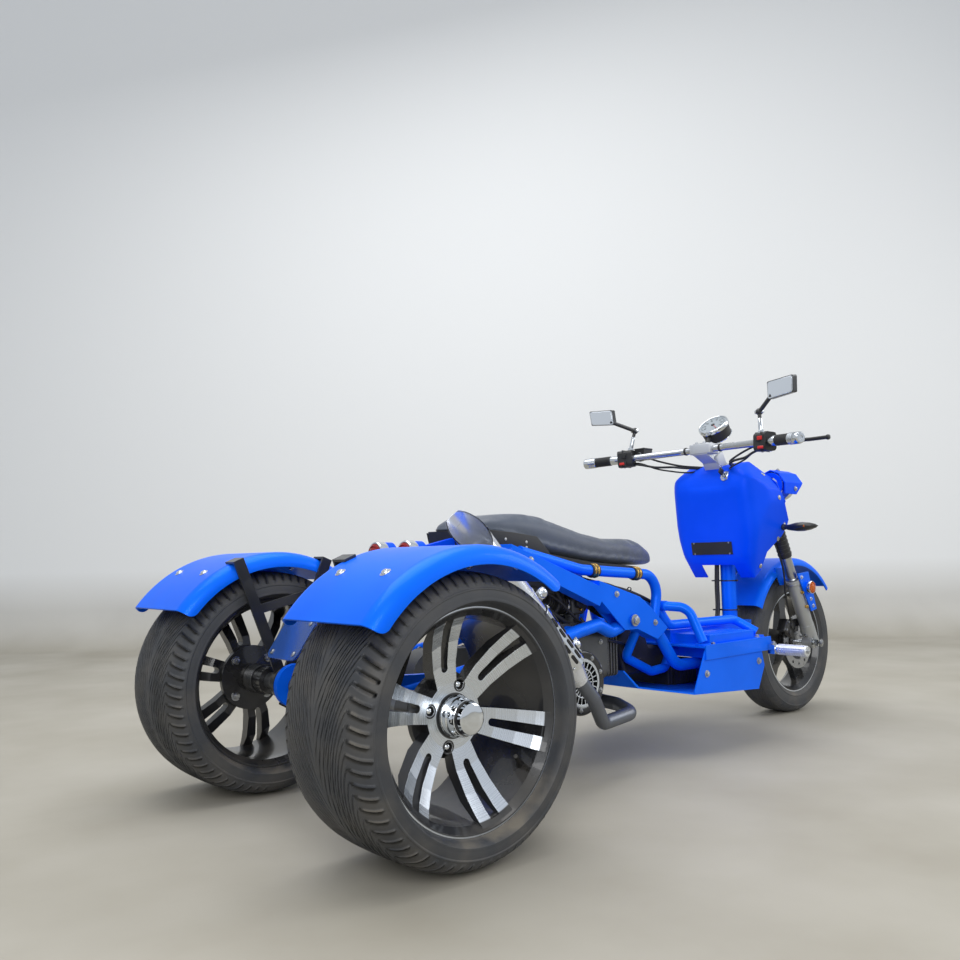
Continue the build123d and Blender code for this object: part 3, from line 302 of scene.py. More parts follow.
finish("satinChrome", (222, 225, 230), 0.24, metal=0.8, drift=0.08, grain=(300.0, 0.00004),
    edge=(0.001, 0.3, (240, 240, 240)), dust=0.08)
finish("barAlloy", (196, 199, 203), 0.24, metal=1.0, drift=0.08, grain=(500.0, 0.00006),
    edge=(0.001, 0.4, (232, 233, 235)), dust=0.1)
finish("discSteel", (168, 170, 173), 0.28, metal=1.0, drift=0.1, grain=(260.0, 0.0001),
    edge=(0.0008, 0.3, (225, 225, 225)), dust=0.15)
finish("greySteel", (128, 131, 136), 0.4, metal=0.8, drift=0.18, grain=(420.0, 0.00015),
    edge=(0.001, 0.5, (190, 192, 195)), dust=0.25)
finish("engineAlloy", (84, 86, 88), 0.48, metal=0.6, drift=0.2, grain=(380.0, 0.0004),
    edge=(0.002, 0.6, (186, 188, 190)), dust=0.4)
finish("seatVinyl", (68, 76, 90), 0.36, drift=0.14, grain=(1100.0, 0.0004), edge=(0.001, 0.1, (88, 92, 98)),
    dust=0.16, sheen=0.15)
finish("brass", (196, 158, 84), 0.26, metal=1.0, drift=0.1, grain=(300.0, 0.0001), dust=0.1)
finish("zincBolt", (176, 178, 180), 0.3, metal=1.0, drift=0.14, grain=(600.0, 0.0001),
    edge=(0.0006, 0.5, (226, 226, 226)), dust=0.15)
finish("blackHose", (22, 23, 25), 0.45, drift=0.2, grain=(1200.0, 0.0002), edge=(0.0006, 0.1, (70, 70, 72)), dust=0.2)
# Near-black used as painted shade where a hole would show only shadow
finish("paintedSlotShade", (12, 12, 13), 0.75, drift=0.3, grain=(500.0, 0.0002), dust=0.1)
# The dial face's grey is its pale card darkened and tinted as painted shade and the reflection over it
finish("dialCardPaintedShade", (150, 158, 164), 0.3, drift=0.05, grain=(400.0, 0.00005), dust=0.05)
finish("redSwitch", (196, 26, 22), 0.35, drift=0.1, grain=(500.0, 0.0001), dust=0.05)
finish("heatSteel", (104, 108, 116), 0.34, metal=0.9, drift=0.22, grain=(220.0, 0.00015),
    edge=(0.001, 0.4, (176, 172, 160)), dust=0.2)


def aroundAxle(tree, axle):
    # Distance from a wheel's axis, and the outward share of the surface's facing
    place = tree.nodes.new("ShaderNodeMapping")
    place.inputs["Location"].default_value = (-axle.x, -axle.y, -axle.z)
    tree.links.new(tree.nodes.new("ShaderNodeTexCoord").outputs["Object"], place.inputs["Vector"])
    split = tree.nodes.new("ShaderNodeSeparateXYZ")
    tree.links.new(place.outputs["Vector"], split.inputs[0])
    square = calc(tree, "ADD", calc(tree, "POWER", split.outputs["X"], 2.0),
        calc(tree, "POWER", split.outputs["Z"], 2.0))
    facing = tree.nodes.new("ShaderNodeSeparateXYZ")
    tree.links.new(tree.nodes.new("ShaderNodeNewGeometry").outputs["Normal"], facing.inputs[0])
    return calc(tree, "SQRT", square), split.outputs["Y"], facing.outputs["Y"]


def band(tree, value, low, high, soft=0.0008):
    rise = spanOf(tree, value, low - soft, low + soft)
    fall = spanOf(tree, value, high + soft, high - soft)
    return calc(tree, "MULTIPLY", rise, fall)


def wheelFinish(name, axle, outward, cut):
    # Black paint with the faces that were turned bright on a lathe
    finish(name, (30, 31, 34), 0.28, coat=0.4, drift=0.2, grain=(420.0, 0.0001), edge=(0.0012, 0.35, (110, 112, 116)),
        dust=0.2)
    tree = finishes[name].node_tree
    shader = tree.nodes["Principled BSDF"]
    radius, across, facing = aroundAxle(tree, axle)
    outside = calc(tree, "MULTIPLY", facing, float(outward)) if outward else calc(tree, "ABSOLUTE", facing)
    bright = None
    for low, high, faceLow in cut["bands"]:
        part = calc(tree, "MULTIPLY", band(tree, radius, low, high),
            spanOf(tree, outside, faceLow - 0.04, faceLow + 0.04))
        bright = part if bright is None else calc(tree, "MAXIMUM", bright, part)
    if outward:
        bright = calc(tree, "MULTIPLY", bright, spanOf(tree, calc(tree, "MULTIPLY", across, float(outward)),
            cut["depth"] - 0.001, cut["depth"] + 0.001))
    spread = tree.nodes.new("ShaderNodeCombineXYZ")
    tree.links.new(calc(tree, "MULTIPLY", radius, 900.0), spread.inputs["X"])
    rings = noiseOf(tree, 1.0, 2.0, spread.outputs["Vector"])
    metalTint = mixTint(tree, spanOf(tree, rings, 0.35, 0.65), tint(202, 208, 215), tint(219, 225, 233))
    base = shader.inputs["Base Color"].links[0].from_socket
    tree.links.new(mixTint(tree, bright, base, metalTint), shader.inputs["Base Color"])
    rough = shader.inputs["Roughness"].links[0].from_socket
    blend = tree.nodes.new("ShaderNodeMix")
    tree.links.new(bright, blend.inputs[0])
    tree.links.new(rough, blend.inputs[2])
    tree.links.new(spanOf(tree, rings, 0.3, 0.7, 0.25, 0.31), blend.inputs[3])
    tree.links.new(blend.outputs[0], shader.inputs["Roughness"])
    tree.links.new(bright, shader.inputs["Metallic"])


def lensFinish(name, colour, rough, through):
    finish(name, colour, rough, drift=0.05, grain=(240.0, 0.0001), edge=(0.0006, 0.0, None), dust=0.0,
        roughSpread=0.02)
    shader = finishes[name].node_tree.nodes["Principled BSDF"]
    shader.inputs["Transmission Weight"].default_value = through
    shader.inputs["IOR"].default_value = 1.45


rearCut = {"bands": [(0.0405, 0.178, 0.55), (0.1925, 0.1962, 0.2)], "depth": 0.03}
for side, turn in sides.items():
    wheelFinish(f"{side}WheelTwoTone", wheelHub(turn), turn, rearCut)
wheelFinish("frontWheelTwoTone", frontAxle, 0, {"bands": [(0.1655, 0.1685, 0.5)], "depth": 0})
wheelFinish("fanTwoTone", rearPoint(0.596, 0, 0.232), 0, {"bands": [(0.0, 0.0585, 0.6)], "depth": 0})
finishes["fanTwoTone"].node_tree.nodes["Principled BSDF"].inputs["Coat Weight"].default_value = 0.1
lensFinish("amberLens", (235, 112, 10), 0.12, 0.35)
lensFinish("redLens", (150, 10, 12), 0.14, 0.3)
lensFinish("clearLens", (226, 232, 238), 0.05, 0.85)
lensFinish("smokeBlueSheet", (70, 112, 190), 0.1, 0.6)
finish("mirrorGlass", (226, 230, 234), 0.03, metal=1.0, drift=0.02, grain=(60.0, 0.000004), dust=0.04,
    roughSpread=0.015)

cadFinishes = {
    "blue_paint": "bluePaint", "blue_plastic": "bluePlastic", "black_metal": "blackPaint",
    "black_plastic": "blackPlastic",
    "grip_rubber": "gripRubber", "tyre": "tyreRubber", "chrome": "chrome", "fork_alloy": "forkAlloy",
    "bar_alloy": "barAlloy",
    "disc_steel": "discSteel", "grey_steel": "greySteel", "engine_alloy": "engineAlloy", "seat_cover": "seatVinyl",
}
nodeFinishes = {"fan_cover": "fanTwoTone", "header_pipe": "heatSteel", "right_rear_rim": "rightWheelTwoTone",
    "left_rear_rim": "leftWheelTwoTone", "front_rim": "frontWheelTwoTone"}


def dressNodes():
    for nodeName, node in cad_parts.items():
        for place in node.material_slots:
            plain = place.material.name.split(".")[0]
            place.link = "OBJECT"
            place.material = finishes[nodeFinishes.get(nodeName) or cadFinishes.get(plain, "blackPlastic")]


dressNodes()
print("finishes laid on the CAD pieces")


# Tools for making pieces


def keep(name, mesh, body, look, angle=38):
    # Turns a finished bmesh into a piece that rides on a body
    bmesh.ops.remove_doubles(mesh, verts=mesh.verts, dist=0.00001)
    bmesh.ops.recalc_face_normals(mesh, faces=mesh.faces)
    data = bpy.data.meshes.new(name)
    mesh.to_mesh(data)
    mesh.free()
    for face in data.polygons:
        face.use_smooth = True
    data.set_sharp_from_angle(angle=math.radians(angle))
    piece = bpy.data.objects.new(name, data)
    scene.collection.objects.link(piece)
    data.materials.append(finishes[look])
    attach(piece, body)
    return piece


def around(angle):
    # A unit step in a wheel's plane
    return Vector((math.cos(angle), 0, math.sin(angle)))


def vertsIn(made):
    return [item for item in made if isinstance(item, bmesh.types.BMVert)]


def joined(verts):
    # The vertices given, and all that edges join to them
    grown, front = set(verts), set(verts)
    while front:
        front = {e.other_vert(v) for v in front for e in v.link_edges} - grown
        grown |= front
    return list(grown)


def soften(mesh, edges, offset, segments=2):
    rounded = bmesh.ops.bevel(mesh, geom=list(edges), offset=offset, affect="EDGES", segments=segments, profile=0.5,
        material=-1)
    return rounded["verts"]


def finalMesh(holder):
    # A new mesh of an object with its modifiers or its curve worked out
    return bpy.data.meshes.new_from_object(holder.evaluated_get(bpy.context.evaluated_depsgraph_get()))


def turnTo(place, direction, spinAngle=0.0):
    # A place and a turn that carries +Z onto a direction
    turn = Vector((0, 0, 1)).rotation_difference(Vector(direction).normalized()).to_matrix().to_4x4()
    return Matrix.Translation(place) @ turn @ Matrix.Rotation(spinAngle, 4, "Z")


def rod(mesh, start, end, radius, endRadius=None, segments=20, rounding=0.0):
    start, end = Vector(start), Vector(end)
    run = end - start
    made = bmesh.ops.create_cone(mesh, cap_ends=True, segments=segments, radius1=radius,
        radius2=radius if endRadius is None else endRadius, depth=run.length,
        matrix=turnTo((start + end) / 2, run))["verts"]
    if rounding:
        rims = {e for v in made for e in v.link_edges if len(e.link_faces) == 2 and any(len(f.verts) > 4 for f in e.link_faces)}
        soften(mesh, rims, rounding)
    return made


def turned(mesh, place, direction, outline, segments=32):
    # Radius and height pairs spun about an axis
    chain = [mesh.verts.new((max(radius, 0.0), 0, height)) for radius, height in outline]
    edges = [mesh.edges.new(pair) for pair in zip(chain, chain[1:])]
    made = bmesh.ops.spin(mesh, geom=chain + edges, cent=(0, 0, 0), axis=(0, 0, 1), angle=math.tau, steps=segments,
        use_merge=True)
    verts = joined(vertsIn(made["geom_last"]))
    bmesh.ops.transform(mesh, matrix=turnTo(place, direction), verts=verts)
    return verts


def slab(mesh, place, size, turn=None, rounding=0.0, segments=2):
    # A block of given size with rounded edges
    matrix = Matrix.Translation(place) @ (turn or Matrix.Identity(4)) @ Matrix.Diagonal((*size, 1))
    made = bmesh.ops.create_cube(mesh, size=1, matrix=matrix)["verts"]
    if rounding:
        edges = {e for v in made for e in v.link_edges}
        soften(mesh, edges, rounding, segments)
    return made


def plate(mesh, outline, depth, rounding=0.0):
    # A flat outline given by its corners, thickened along a vector
    verts = [mesh.verts.new(corner) for corner in outline]
    face = mesh.faces.new(verts)
    made = bmesh.ops.extrude_face_region(mesh, geom=[face])["geom"]
    moved = vertsIn(made)
    bmesh.ops.translate(mesh, verts=moved, vec=depth)
    if rounding:
        edges = {e for v in verts + moved for e in v.link_edges}
        soften(mesh, edges, rounding)


def bolt(mesh, place, direction, radius=0.006, height=0.005, domed=False):
    # A washer with a hexagon head, or with a domed head
    place, direction = Vector(place), Vector(direction).normalized()
    rod(mesh, place - direction * 0.002, place + direction * 0.0014, radius * 1.55, segments=20)
    if domed:
        turned(mesh, place, direction, [(radius * 1.2, 0), (radius * 1.15, height * 0.45),
            (radius * 0.8, height * 0.85), (0, height)], 16)
    else:
        rod(mesh, place, place + direction * (height + 0.001), radius * 1.1, segments=6, rounding=0.0005)
        rod(mesh, place + direction * height, place + direction * (height + 0.0025), radius * 0.5, segments=12)


def hoop(mesh, place, direction, radii, heights, sides):
    # A flat ring: its inner and outer radius, and where it starts and ends along the direction
    (inner, outer), (low, high) = radii, heights
    turned(mesh, place, direction, [(inner, low), (outer, low), (outer, high), (inner, high), (inner, low)], sides)


def hose(name, runs, body, look="blackHose", resolution=8):
    # Cables and hoses held at both ends: each run is a radius and the points of a smooth line
    data = bpy.data.curves.new(name, "CURVE")
    data.dimensions = "3D"
    data.bevel_depth = 1.0
    data.bevel_resolution = 3
    data.resolution_u = resolution
    data.use_fill_caps = True
    for radius, points in runs:
        spline = data.splines.new("NURBS")
        spline.points.add(len(points) - 1)
        for point, place in zip(spline.points, points):
            point.co = (*place, 1)
            point.radius = radius
        spline.order_u = min(4, len(points))
        spline.use_endpoint_u = True
    holder = bpy.data.objects.new(name + "Line", data)
    scene.collection.objects.link(holder)
    bpy.context.view_layer.update()
    shape = finalMesh(holder)
    bpy.data.objects.remove(holder)
    mesh = bmesh.new()
    mesh.from_mesh(shape)
    bpy.data.meshes.remove(shape)
    return keep(name, mesh, body, look, 50)


# Tyres


def treadedTyre(name, node, body, axle, shape):
    # The profile is spun in columns, the columns lean into a V, and the grooves are pushed in
    mesh = bmesh.new()
    half = shape["profile"]
    rows = [(r, -y) for r, y in reversed(half)] + [(r, y) for r, y in half[1:]]
    chain = [mesh.verts.new((r, y, 0)) for r, y in rows]
    edges = [mesh.edges.new(pair) for pair in zip(chain, chain[1:])]
    columns = shape["repeats"] * 8
    bmesh.ops.spin(mesh, geom=chain + edges, cent=(0, 0, 0), axis=(0, -1, 0), angle=math.tau, steps=columns,
        use_merge=True)
    grooves = {}
    for face in mesh.faces:
        middle = face.calc_center_median()
        column = int(math.atan2(middle.z, middle.x) / math.tau * columns + columns) % columns % 8
        across = abs(middle.y)
        if shape["sweepFrom"] < across < shape["sweepTo"] and (column == 0 or column == 4 and across > shape["branchFrom"]):
            grooves[face] = shape["depth"] if column == 0 else shape["depth"] * 0.8
        elif shape["sipeFrom"] < across < shape["sipeTo"] and middle.xz.length > shape["sipeFloor"] and column in (0,
                4):
            grooves[face] = shape["sipeDepth"]
    for vert in mesh.verts:
        across = abs(vert.co.y)
        count = round(math.atan2(vert.co.z, vert.co.x) / math.tau * columns) % columns
        inner = max(0.0, 1 - across / shape["sweepTo"])
        share = min(1.0, inner * 3)
        column = shape["shoulderColumns"][count % 8] * (1 - share) + shape["middleColumns"][count % 8] * share
        angle = math.tau * (count // 8 + column) / shape["repeats"] + math.radians(shape["sweep"]) * inner ** 1.35
        angle += math.radians(shape["lean"]) * max(0.0, across / shape["sweepTo"] - 1)
        radius = vert.co.xz.length
        vert.co = Vector((radius * math.cos(angle), vert.co.y, radius * math.sin(angle)))
    for depth in sorted(set(grooves.values())):
        region = [f for f, d in grooves.items() if d == depth]
        made = bmesh.ops.extrude_face_region(mesh, geom=region)["geom"]
        for vert in vertsIn(made):
            vert.co -= Vector((vert.co.x, 0, vert.co.z)).normalized() * depth
    bmesh.ops.translate(mesh, verts=mesh.verts, vec=axle)
    piece = keep(name, mesh, body, "tyreRubber", 30)
    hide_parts(node)


rearTread = {
    "profile": [(0.2584, 0), (0.2584, 0.006), (0.2583, 0.013), (0.2582, 0.024), (0.258, 0.036), (0.2577, 0.049),
        (0.2572, 0.062),
                (0.2564, 0.074), (0.2554, 0.084), (0.2545, 0.0895), (0.2536, 0.094), (0.2515, 0.102),
                (0.2482, 0.1105),
                (0.2435, 0.1185), (0.238, 0.1245), (0.232, 0.129), (0.2285, 0.1308), (0.2275, 0.1325),
                (0.2255, 0.133), (0.2235, 0.1322),
                (0.218, 0.1335), (0.212, 0.1342), (0.2085, 0.1345), (0.2075, 0.1349), (0.205, 0.1347),
                (0.2042, 0.1336), (0.2015, 0.1295),
                (0.1985, 0.1215), (0.1965, 0.1125), (0.1953, 0.1098)],
    "repeats": 36, "sweep": 62, "lean": 6, "sweepFrom": 0.009, "sweepTo": 0.0895, "branchFrom": 0.03,
    "sipeFrom": 0.094, "sipeTo": 0.13, "sipeFloor": 0.231, "depth": 0.0055, "sipeDepth": 0.0013,
    "shoulderColumns": [0, 0.05, 0.2, 0.36, 0.5, 0.55, 0.7, 0.86],
    "middleColumns": [0, 0.2, 0.32, 0.44, 0.56, 0.68, 0.79, 0.9],
}
frontTread = {
    "profile": [(0.2379, 0), (0.2379, 0.004), (0.2377, 0.01), (0.2373, 0.018), (0.2366, 0.026), (0.2355, 0.034),
        (0.2342, 0.0395),
                (0.2328, 0.0425), (0.2296, 0.0475), (0.2255, 0.052), (0.221, 0.0555), (0.2165, 0.0575),
                (0.2155, 0.059), (0.2135, 0.0593),
                (0.212, 0.0586), (0.204, 0.0595), (0.194, 0.0596), (0.185, 0.058), (0.1835, 0.0588), (0.181, 0.0583),
                (0.18, 0.057),
                (0.175, 0.0535), (0.1715, 0.0505), (0.1698, 0.0498)],
    "repeats": 34, "sweep": 38, "lean": 8, "sweepFrom": 0.005, "sweepTo": 0.0395, "branchFrom": 0.016,
    "sipeFrom": 0.0425, "sipeTo": 0.057, "sipeFloor": 0.219, "depth": 0.0045, "sipeDepth": 0.0012,
    "shoulderColumns": [0, 0.06, 0.2, 0.36, 0.5, 0.56, 0.7, 0.86],
    "middleColumns": [0, 0.17, 0.3, 0.42, 0.55, 0.67, 0.78, 0.9],
}
for side, turn in sides.items():
    treadedTyre(f"{side}RearTyreRubber", f"{side}_rear_tyre", f"{side}_rear_wheel", wheelHub(turn), rearTread)
treadedTyre("frontTyreRubber", "front_tyre", "front_wheel", frontAxle, frontTread)
print("tyres done")


# Rim furniture


def rimFurniture(side, turn):
    # A stepped bright cap, four nuts in their wells, and a valve stem
    cap = {"lug": 0.055, "face": 0.048, "firstLug": -14.5, "valve": 0.1775, "valveTurn": -36}
    hub = wheelHub(turn)
    out = Vector((0, turn, 0))
    mesh = bmesh.new()
    face = cap["face"]
    turned(mesh, hub, out, [(0.0302, face + 0.012), (0.0365, face + 0.0012), (0.0372, face + 0.007),
        (0.0362, face + 0.0085), (0.035, face + 0.0095), (0.035, face + 0.018), (0.0336, face + 0.0195),
        (0.0325, face + 0.021), (0.0325, face + 0.034), (0.0316, face + 0.0365), (0.0296, face + 0.038),
        (0.0286, face + 0.047), (0.0272, face + 0.0502), (0.0245, face + 0.0518), (0.012, face + 0.0532),
        (0, face + 0.0536)], 48)
    for notch in range(8):
        angle = math.tau * notch / 8
        spot = hub + out * (face + 0.0275) + around(angle) * 0.0322
        slab(mesh, spot, (0.004, 0.011, 0.009), Matrix.Rotation(-angle, 4, "Y"), 0.001)
    keep(f"{side}HubCap", mesh, f"{side}_rear_wheel", "chrome", 32)
    mesh = bmesh.new()
    wells = bmesh.new()
    for lug in range(4):
        angle = math.radians(cap["firstLug"] + 90 * lug)
        spot = hub + around(angle) * cap["lug"]
        rod(mesh, spot + out * 0.0285, spot + out * 0.0425, 0.0074, segments=6, rounding=0.0006)
        turned(mesh, spot + out * 0.0425, out, [(0.0066, -0.0005), (0.0056, 0.003), (0.003, 0.0052), (0, 0.0058)], 20)
        turned(wells, spot, out, [(0.0089, 0.028), (0.0098, face + 0.0002), (0.0116, face + 0.0009),
            (0.0128, face + 0.0004), (0.0122, face - 0.004)], 28)
    keep(f"{side}LugNuts", mesh, f"{side}_rear_wheel", "chrome", 30)
    keep(f"{side}LugWells", wells, f"{side}_rear_wheel", "blackPaint", 40)
    mesh = bmesh.new()
    angle = math.radians(cap["valveTurn"])
    spot = hub + around(angle) * cap["valve"] + out * 0.064
    inward = (-around(angle) + out * 0.55).normalized()
    turned(mesh, spot, inward, [(0.0075, -0.006), (0.0075, 0.001), (0.0058, 0.004), (0.0045, 0.012), (0.0037, 0.02),
        (0.0037, 0.03), (0.0044, 0.0302), (0.0044, 0.04), (0.0036, 0.0415), (0, 0.0418)], 20)
    keep(f"{side}ValveStem", mesh, f"{side}_rear_wheel", "blackHose")


for side, turn in sides.items():
    rimFurniture(side, turn)
print("rim furniture done")


# Seat


def meshCopy(node):
    mesh = bmesh.new()
    mesh.from_mesh(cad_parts[node].data)
    bmesh.ops.remove_doubles(mesh, verts=mesh.verts, dist=0.00005)
    return mesh


def evenOut(mesh, times):
    for _ in range(times):
        bmesh.ops.smooth_vert(mesh, verts=mesh.verts, factor=0.5, use_axis_x=True, use_axis_y=True, use_axis_z=True)


def seatPad():
    # The saddle is shrunk a little, remeshed, blown up as cloth, and held flat underneath
    pad = {"shrink": 0.004, "voxel": 0.006, "pressure": 4.0, "frames": 20, "mostMove": 0.007, "smooth": 14,
        "smoothAfter": 3, "flatBelow": -0.35}
    mesh = meshCopy("seat")
    for vert in mesh.verts:
        vert.co -= vert.normal * pad["shrink"]
    data = bpy.data.meshes.new("seatPadStart")
    mesh.to_mesh(data)
    mesh.free()
    holder = bpy.data.objects.new("seatPadStart", data)
    scene.collection.objects.link(holder)
    remesh = holder.modifiers.new("evenGrid", "REMESH")
    remesh.mode = "VOXEL"
    remesh.voxel_size = pad["voxel"]
    bpy.context.view_layer.update()
    even = finalMesh(holder)
    holder.modifiers.clear()
    mesh = bmesh.new()
    mesh.from_mesh(even)
    evenOut(mesh, pad["smooth"])
    mesh.to_mesh(even)
    start = [v.co.copy() for v in mesh.verts]
    facing = [v.normal.z for v in mesh.verts]
    mesh.free()
    holder.data = even
    cloth = holder.modifiers.new("stuffing", "CLOTH")
    cloth.settings.quality = 5
    cloth.settings.mass = 0.4
    cloth.settings.use_pressure = True
    cloth.settings.uniform_pressure_force = pad["pressure"]
    cloth.settings.effector_weights.gravity = 0
    cloth.collision_settings.use_collision = False
    cloth.point_cache.frame_start, cloth.point_cache.frame_end = 1, pad["frames"]
    for step in range(1, pad["frames"] + 1):
        scene.frame_set(step)
    swollen = finalMesh(holder)
    for vert, old, up in zip(swollen.vertices, start, facing):
        move = vert.co - old
        if up < pad["flatBelow"]:
            move *= 0.0
        if move.length > pad["mostMove"]:
            move *= pad["mostMove"] / move.length
        vert.co = old + move
    scene.frame_set(1)
    even = swollen
    bpy.data.objects.remove(holder)
    mesh = bmesh.new()
    mesh.from_mesh(even)
    evenOut(mesh, pad["smoothAfter"])
    piece = keep("seatPad", mesh, "frame", "seatVinyl", 80)
    soft = piece.modifiers.new("finer", "SUBSURF")
    soft.levels = soft.render_levels = 1
    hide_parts("seat")


seatPad()
print("seat pad done")


# Handlebar and what it carries

steerLine = {"rake": math.radians(26), "x": -0.249, "z": 0.7, "offset": 0.036, "spread": 0.105}
axisUp = Vector((-math.sin(steerLine["rake"]), 0, math.cos(steerLine["rake"])))


def steeringX(z):
    return frontAxle.x + steerLine["x"] - (z - steerLine["z"]) * math.tan(steerLine["rake"])


def legPoint(turn, z):
    return Vector((steeringX(z) + steerLine["offset"] / math.cos(steerLine["rake"]), turn * steerLine["spread"], z))


def barPoint(y):
    share = (abs(y) - 0.08) / 0.311
    return Vector((frontAxle.x - 0.414 - 0.114 * share, y, 0.876 - 0.016 * share))


def gripSleeves():
    sleeve = {"radius": 0.0163, "groove": 0.0151, "collar": 0.03, "rubberEnd": 0.085, "tip": 0.1278,
        "tipRadius": 0.0179, "ribs": 10}
    for side, turn in sides.items():
        start, end = barPoint(turn * 0.286), barPoint(turn * 0.398)
        out = (end - start).normalized()
        low, high, wide, slim = sleeve["collar"], sleeve["rubberEnd"], sleeve["radius"], sleeve["groove"]
        outline = [(0.0112, low), (wide, low)]
        pitch = (high - low) / sleeve["ribs"]
        for rib in range(sleeve["ribs"]):
            foot = low + pitch * rib
            outline += [(wide, foot + 0.0003), (wide, foot + pitch * 0.6), (slim, foot + pitch * 0.68),
                (slim, foot + pitch * 0.92)]
        outline += [(wide, high), (0.0112, high)]
        rubber = bmesh.new()
        turned(rubber, start, out, outline, 36)
        piece = keep(f"{side}GripRubber", rubber, "steering", "gripRubber", 30)
        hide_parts(f"{side}_grip")
        metal = bmesh.new()
        turned(metal, start, out, [(0.0112, 0.0002), (0.0142, 0.0002), (0.0152, 0.0015), (0.0152, low - 0.0015),
            (0.0142, low + 0.0005), (0.0112, low + 0.0005)], 36)
        wide, tip = sleeve["tipRadius"], sleeve["tip"]
        ends = [(0.0112, high - 0.001), (0.0165, high - 0.001), (wide, high + 0.001)]
        for ring in range(4):
            foot = high + 0.002 + 0.0045 * ring
            ends += [(wide, foot), (wide, foot + 0.0026), (wide - 0.0012, foot + 0.0031),
                (wide - 0.0012, foot + 0.0041)]
        ends += [(wide, tip - 0.022), (wide, tip - 0.009), (wide - 0.0014, tip - 0.0035),
            (wide - 0.0045, tip - 0.0005), (0.006, tip), (0.0055, tip - 0.002), (0, tip - 0.002)]
        turned(metal, start, out, ends, 40)
        keep(f"{side}GripMetal", metal, "steering", "chrome", 30)


gripSleeves()


def switchDetails():
    # Red buttons, housing screws, split line, reservoir lid and lever pivots on both controls
    for side, turn in sides.items():
        bar = barPoint(turn * 0.262)
        red, dark, bright = bmesh.new(), bmesh.new(), bmesh.new()
        if turn < 0:
            slab(red, bar + Vector((-0.024, 0.002, 0.01)), (0.006, 0.017, 0.012), rounding=0.0015)
        slab(red, bar + Vector((-0.0245, 0, -0.018)), (0.007, 0.02, 0.009), Matrix.Rotation(0.2, 4, "Y"), 0.002)
        slab(dark, bar + Vector((-0.0225, 0.0, 0.01)), (0.004, 0.03, 0.02), rounding=0.0014)
        slab(dark, bar + Vector((-0.0225, 0.0, -0.018)), (0.0035, 0.032, 0.015), rounding=0.0014)
        slab(dark, bar, (0.0465, 0.0018, 0.0585), rounding=0.0005)
        for along in (-0.014, 0.014):
            turned(bright, bar + Vector((0.008, turn * along, -0.0278)), (0, 0, -1),
                [(0.0032, 0), (0.003, 0.0016), (0, 0.002)], 14)
        tank = barPoint(turn * 0.238) + Vector((0.046, 0, 0.014))
        tank.y = turn * 0.232
        slab(dark, tank + Vector((0, 0, 0.0185)), (0.0468, 0.0428, 0.0055), rounding=0.0015)
        for along in (-0.016, 0.016):
            turned(bright, tank + Vector((along, along * 0.85, 0.021)), (0, 0, 1),
                [(0.003, 0), (0.0028, 0.0012), (0, 0.0016)], 14)
        turned(bright, tank + Vector((-0.0222, 0, -0.001)), (-1, 0, 0),
            [(0.0085, 0), (0.0085, 0.0012), (0.0068, 0.0016), (0.0064, 0.0008), (0, 0.0008)], 24)
        pivot = barPoint(turn * 0.238) + Vector((0.05, turn * 0.012, 0.004))
        rod(bright, pivot + Vector((0, 0, -0.012)), pivot + Vector((0, 0, 0.0155)), 0.0042, segments=16,
            rounding=0.0006)
        rod(dark, pivot + Vector((0, 0, -0.0095)), pivot + Vector((0, 0, 0.0095)), 0.0125, segments=24,
            rounding=0.0015)
        tip = Vector((barPoint(turn * 0.238).x + 0.018, turn * 0.44, barPoint(turn * 0.238).z - 0.006))
        turned(dark, tip + Vector((0, turn * -0.002, 0)), (0, turn, 0),
            [(0.0056, 0), (0.0075, 0.003), (0.0078, 0.006), (0.0066, 0.0095), (0, 0.0112)], 20)
        keep(f"{side}SwitchButtons", red, "steering", "redSwitch")
        keep(f"{side}SwitchTrim", dark, "steering", "blackPlastic")
        keep(f"{side}SwitchScrews", bright, "steering", "zincBolt")


switchDetails()


def mirrorGlass():
    # Rear-facing glass in a thin frame, and the bright stem under each arm
    glassShape = {"corners": [(0.045, -0.0232), (-0.0392, -0.0232), (-0.0485, 0.0212), (0.037, 0.0232)]}
    for side, turn in sides.items():
        base = Vector((barPoint(0.247).x, turn * 0.247, 0.897))
        joint = frontPoint(-0.462, turn * 0.237, 0.962)
        head = frontPoint(-0.505, turn * 0.306, 0.998) + Vector((0, turn * 0.032, 0.018))
        outward = Vector((-0.98, -0.15 * turn, -0.1)).normalized()
        across = Vector((0, -1, -0.1 * turn))
        across = (across - outward * across.dot(outward)).normalized()
        upward = outward.cross(across)
        glass, rim = bmesh.new(), bmesh.new()
        for mesh, swell, face, depth in ((rim, 1.04, 0.0086, 0.0012), (glass, 0.97, 0.0095, 0.0009)):
            corners = [head + outward * face + (across * x * turn + upward * y) * swell for x,
                y in glassShape["corners"]]
            made = [mesh.verts.new(c) for c in corners]
            bmesh.ops.bevel(mesh, geom=[mesh.faces.new(made)] + made, offset=0.007, affect="VERTICES", segments=5,
                profile=0.5, material=-1)
            made = bmesh.ops.extrude_face_region(mesh, geom=list(mesh.faces))["geom"]
            bmesh.ops.translate(mesh, verts=vertsIn(made), vec=outward * depth)
        keep(f"{side}MirrorGlass", glass, "steering", "mirrorGlass")
        keep(f"{side}MirrorRim", rim, "steering", "chrome")
        stem = bmesh.new()
        run = joint - base
        rod(stem, base - run * 0.12, base + run * 0.08, 0.0098, segments=6, rounding=0.0006)
        rod(stem, base + run * 0.04, base + run * 0.66, 0.0068, segments=24, rounding=0.0008)
        rod(stem, joint - Vector((0, 0.0135, 0)), joint + Vector((0, 0.0135, 0)), 0.0062, segments=20, rounding=0.001)
        keep(f"{side}MirrorStem", stem, "steering", "chrome")


mirrorGlass()


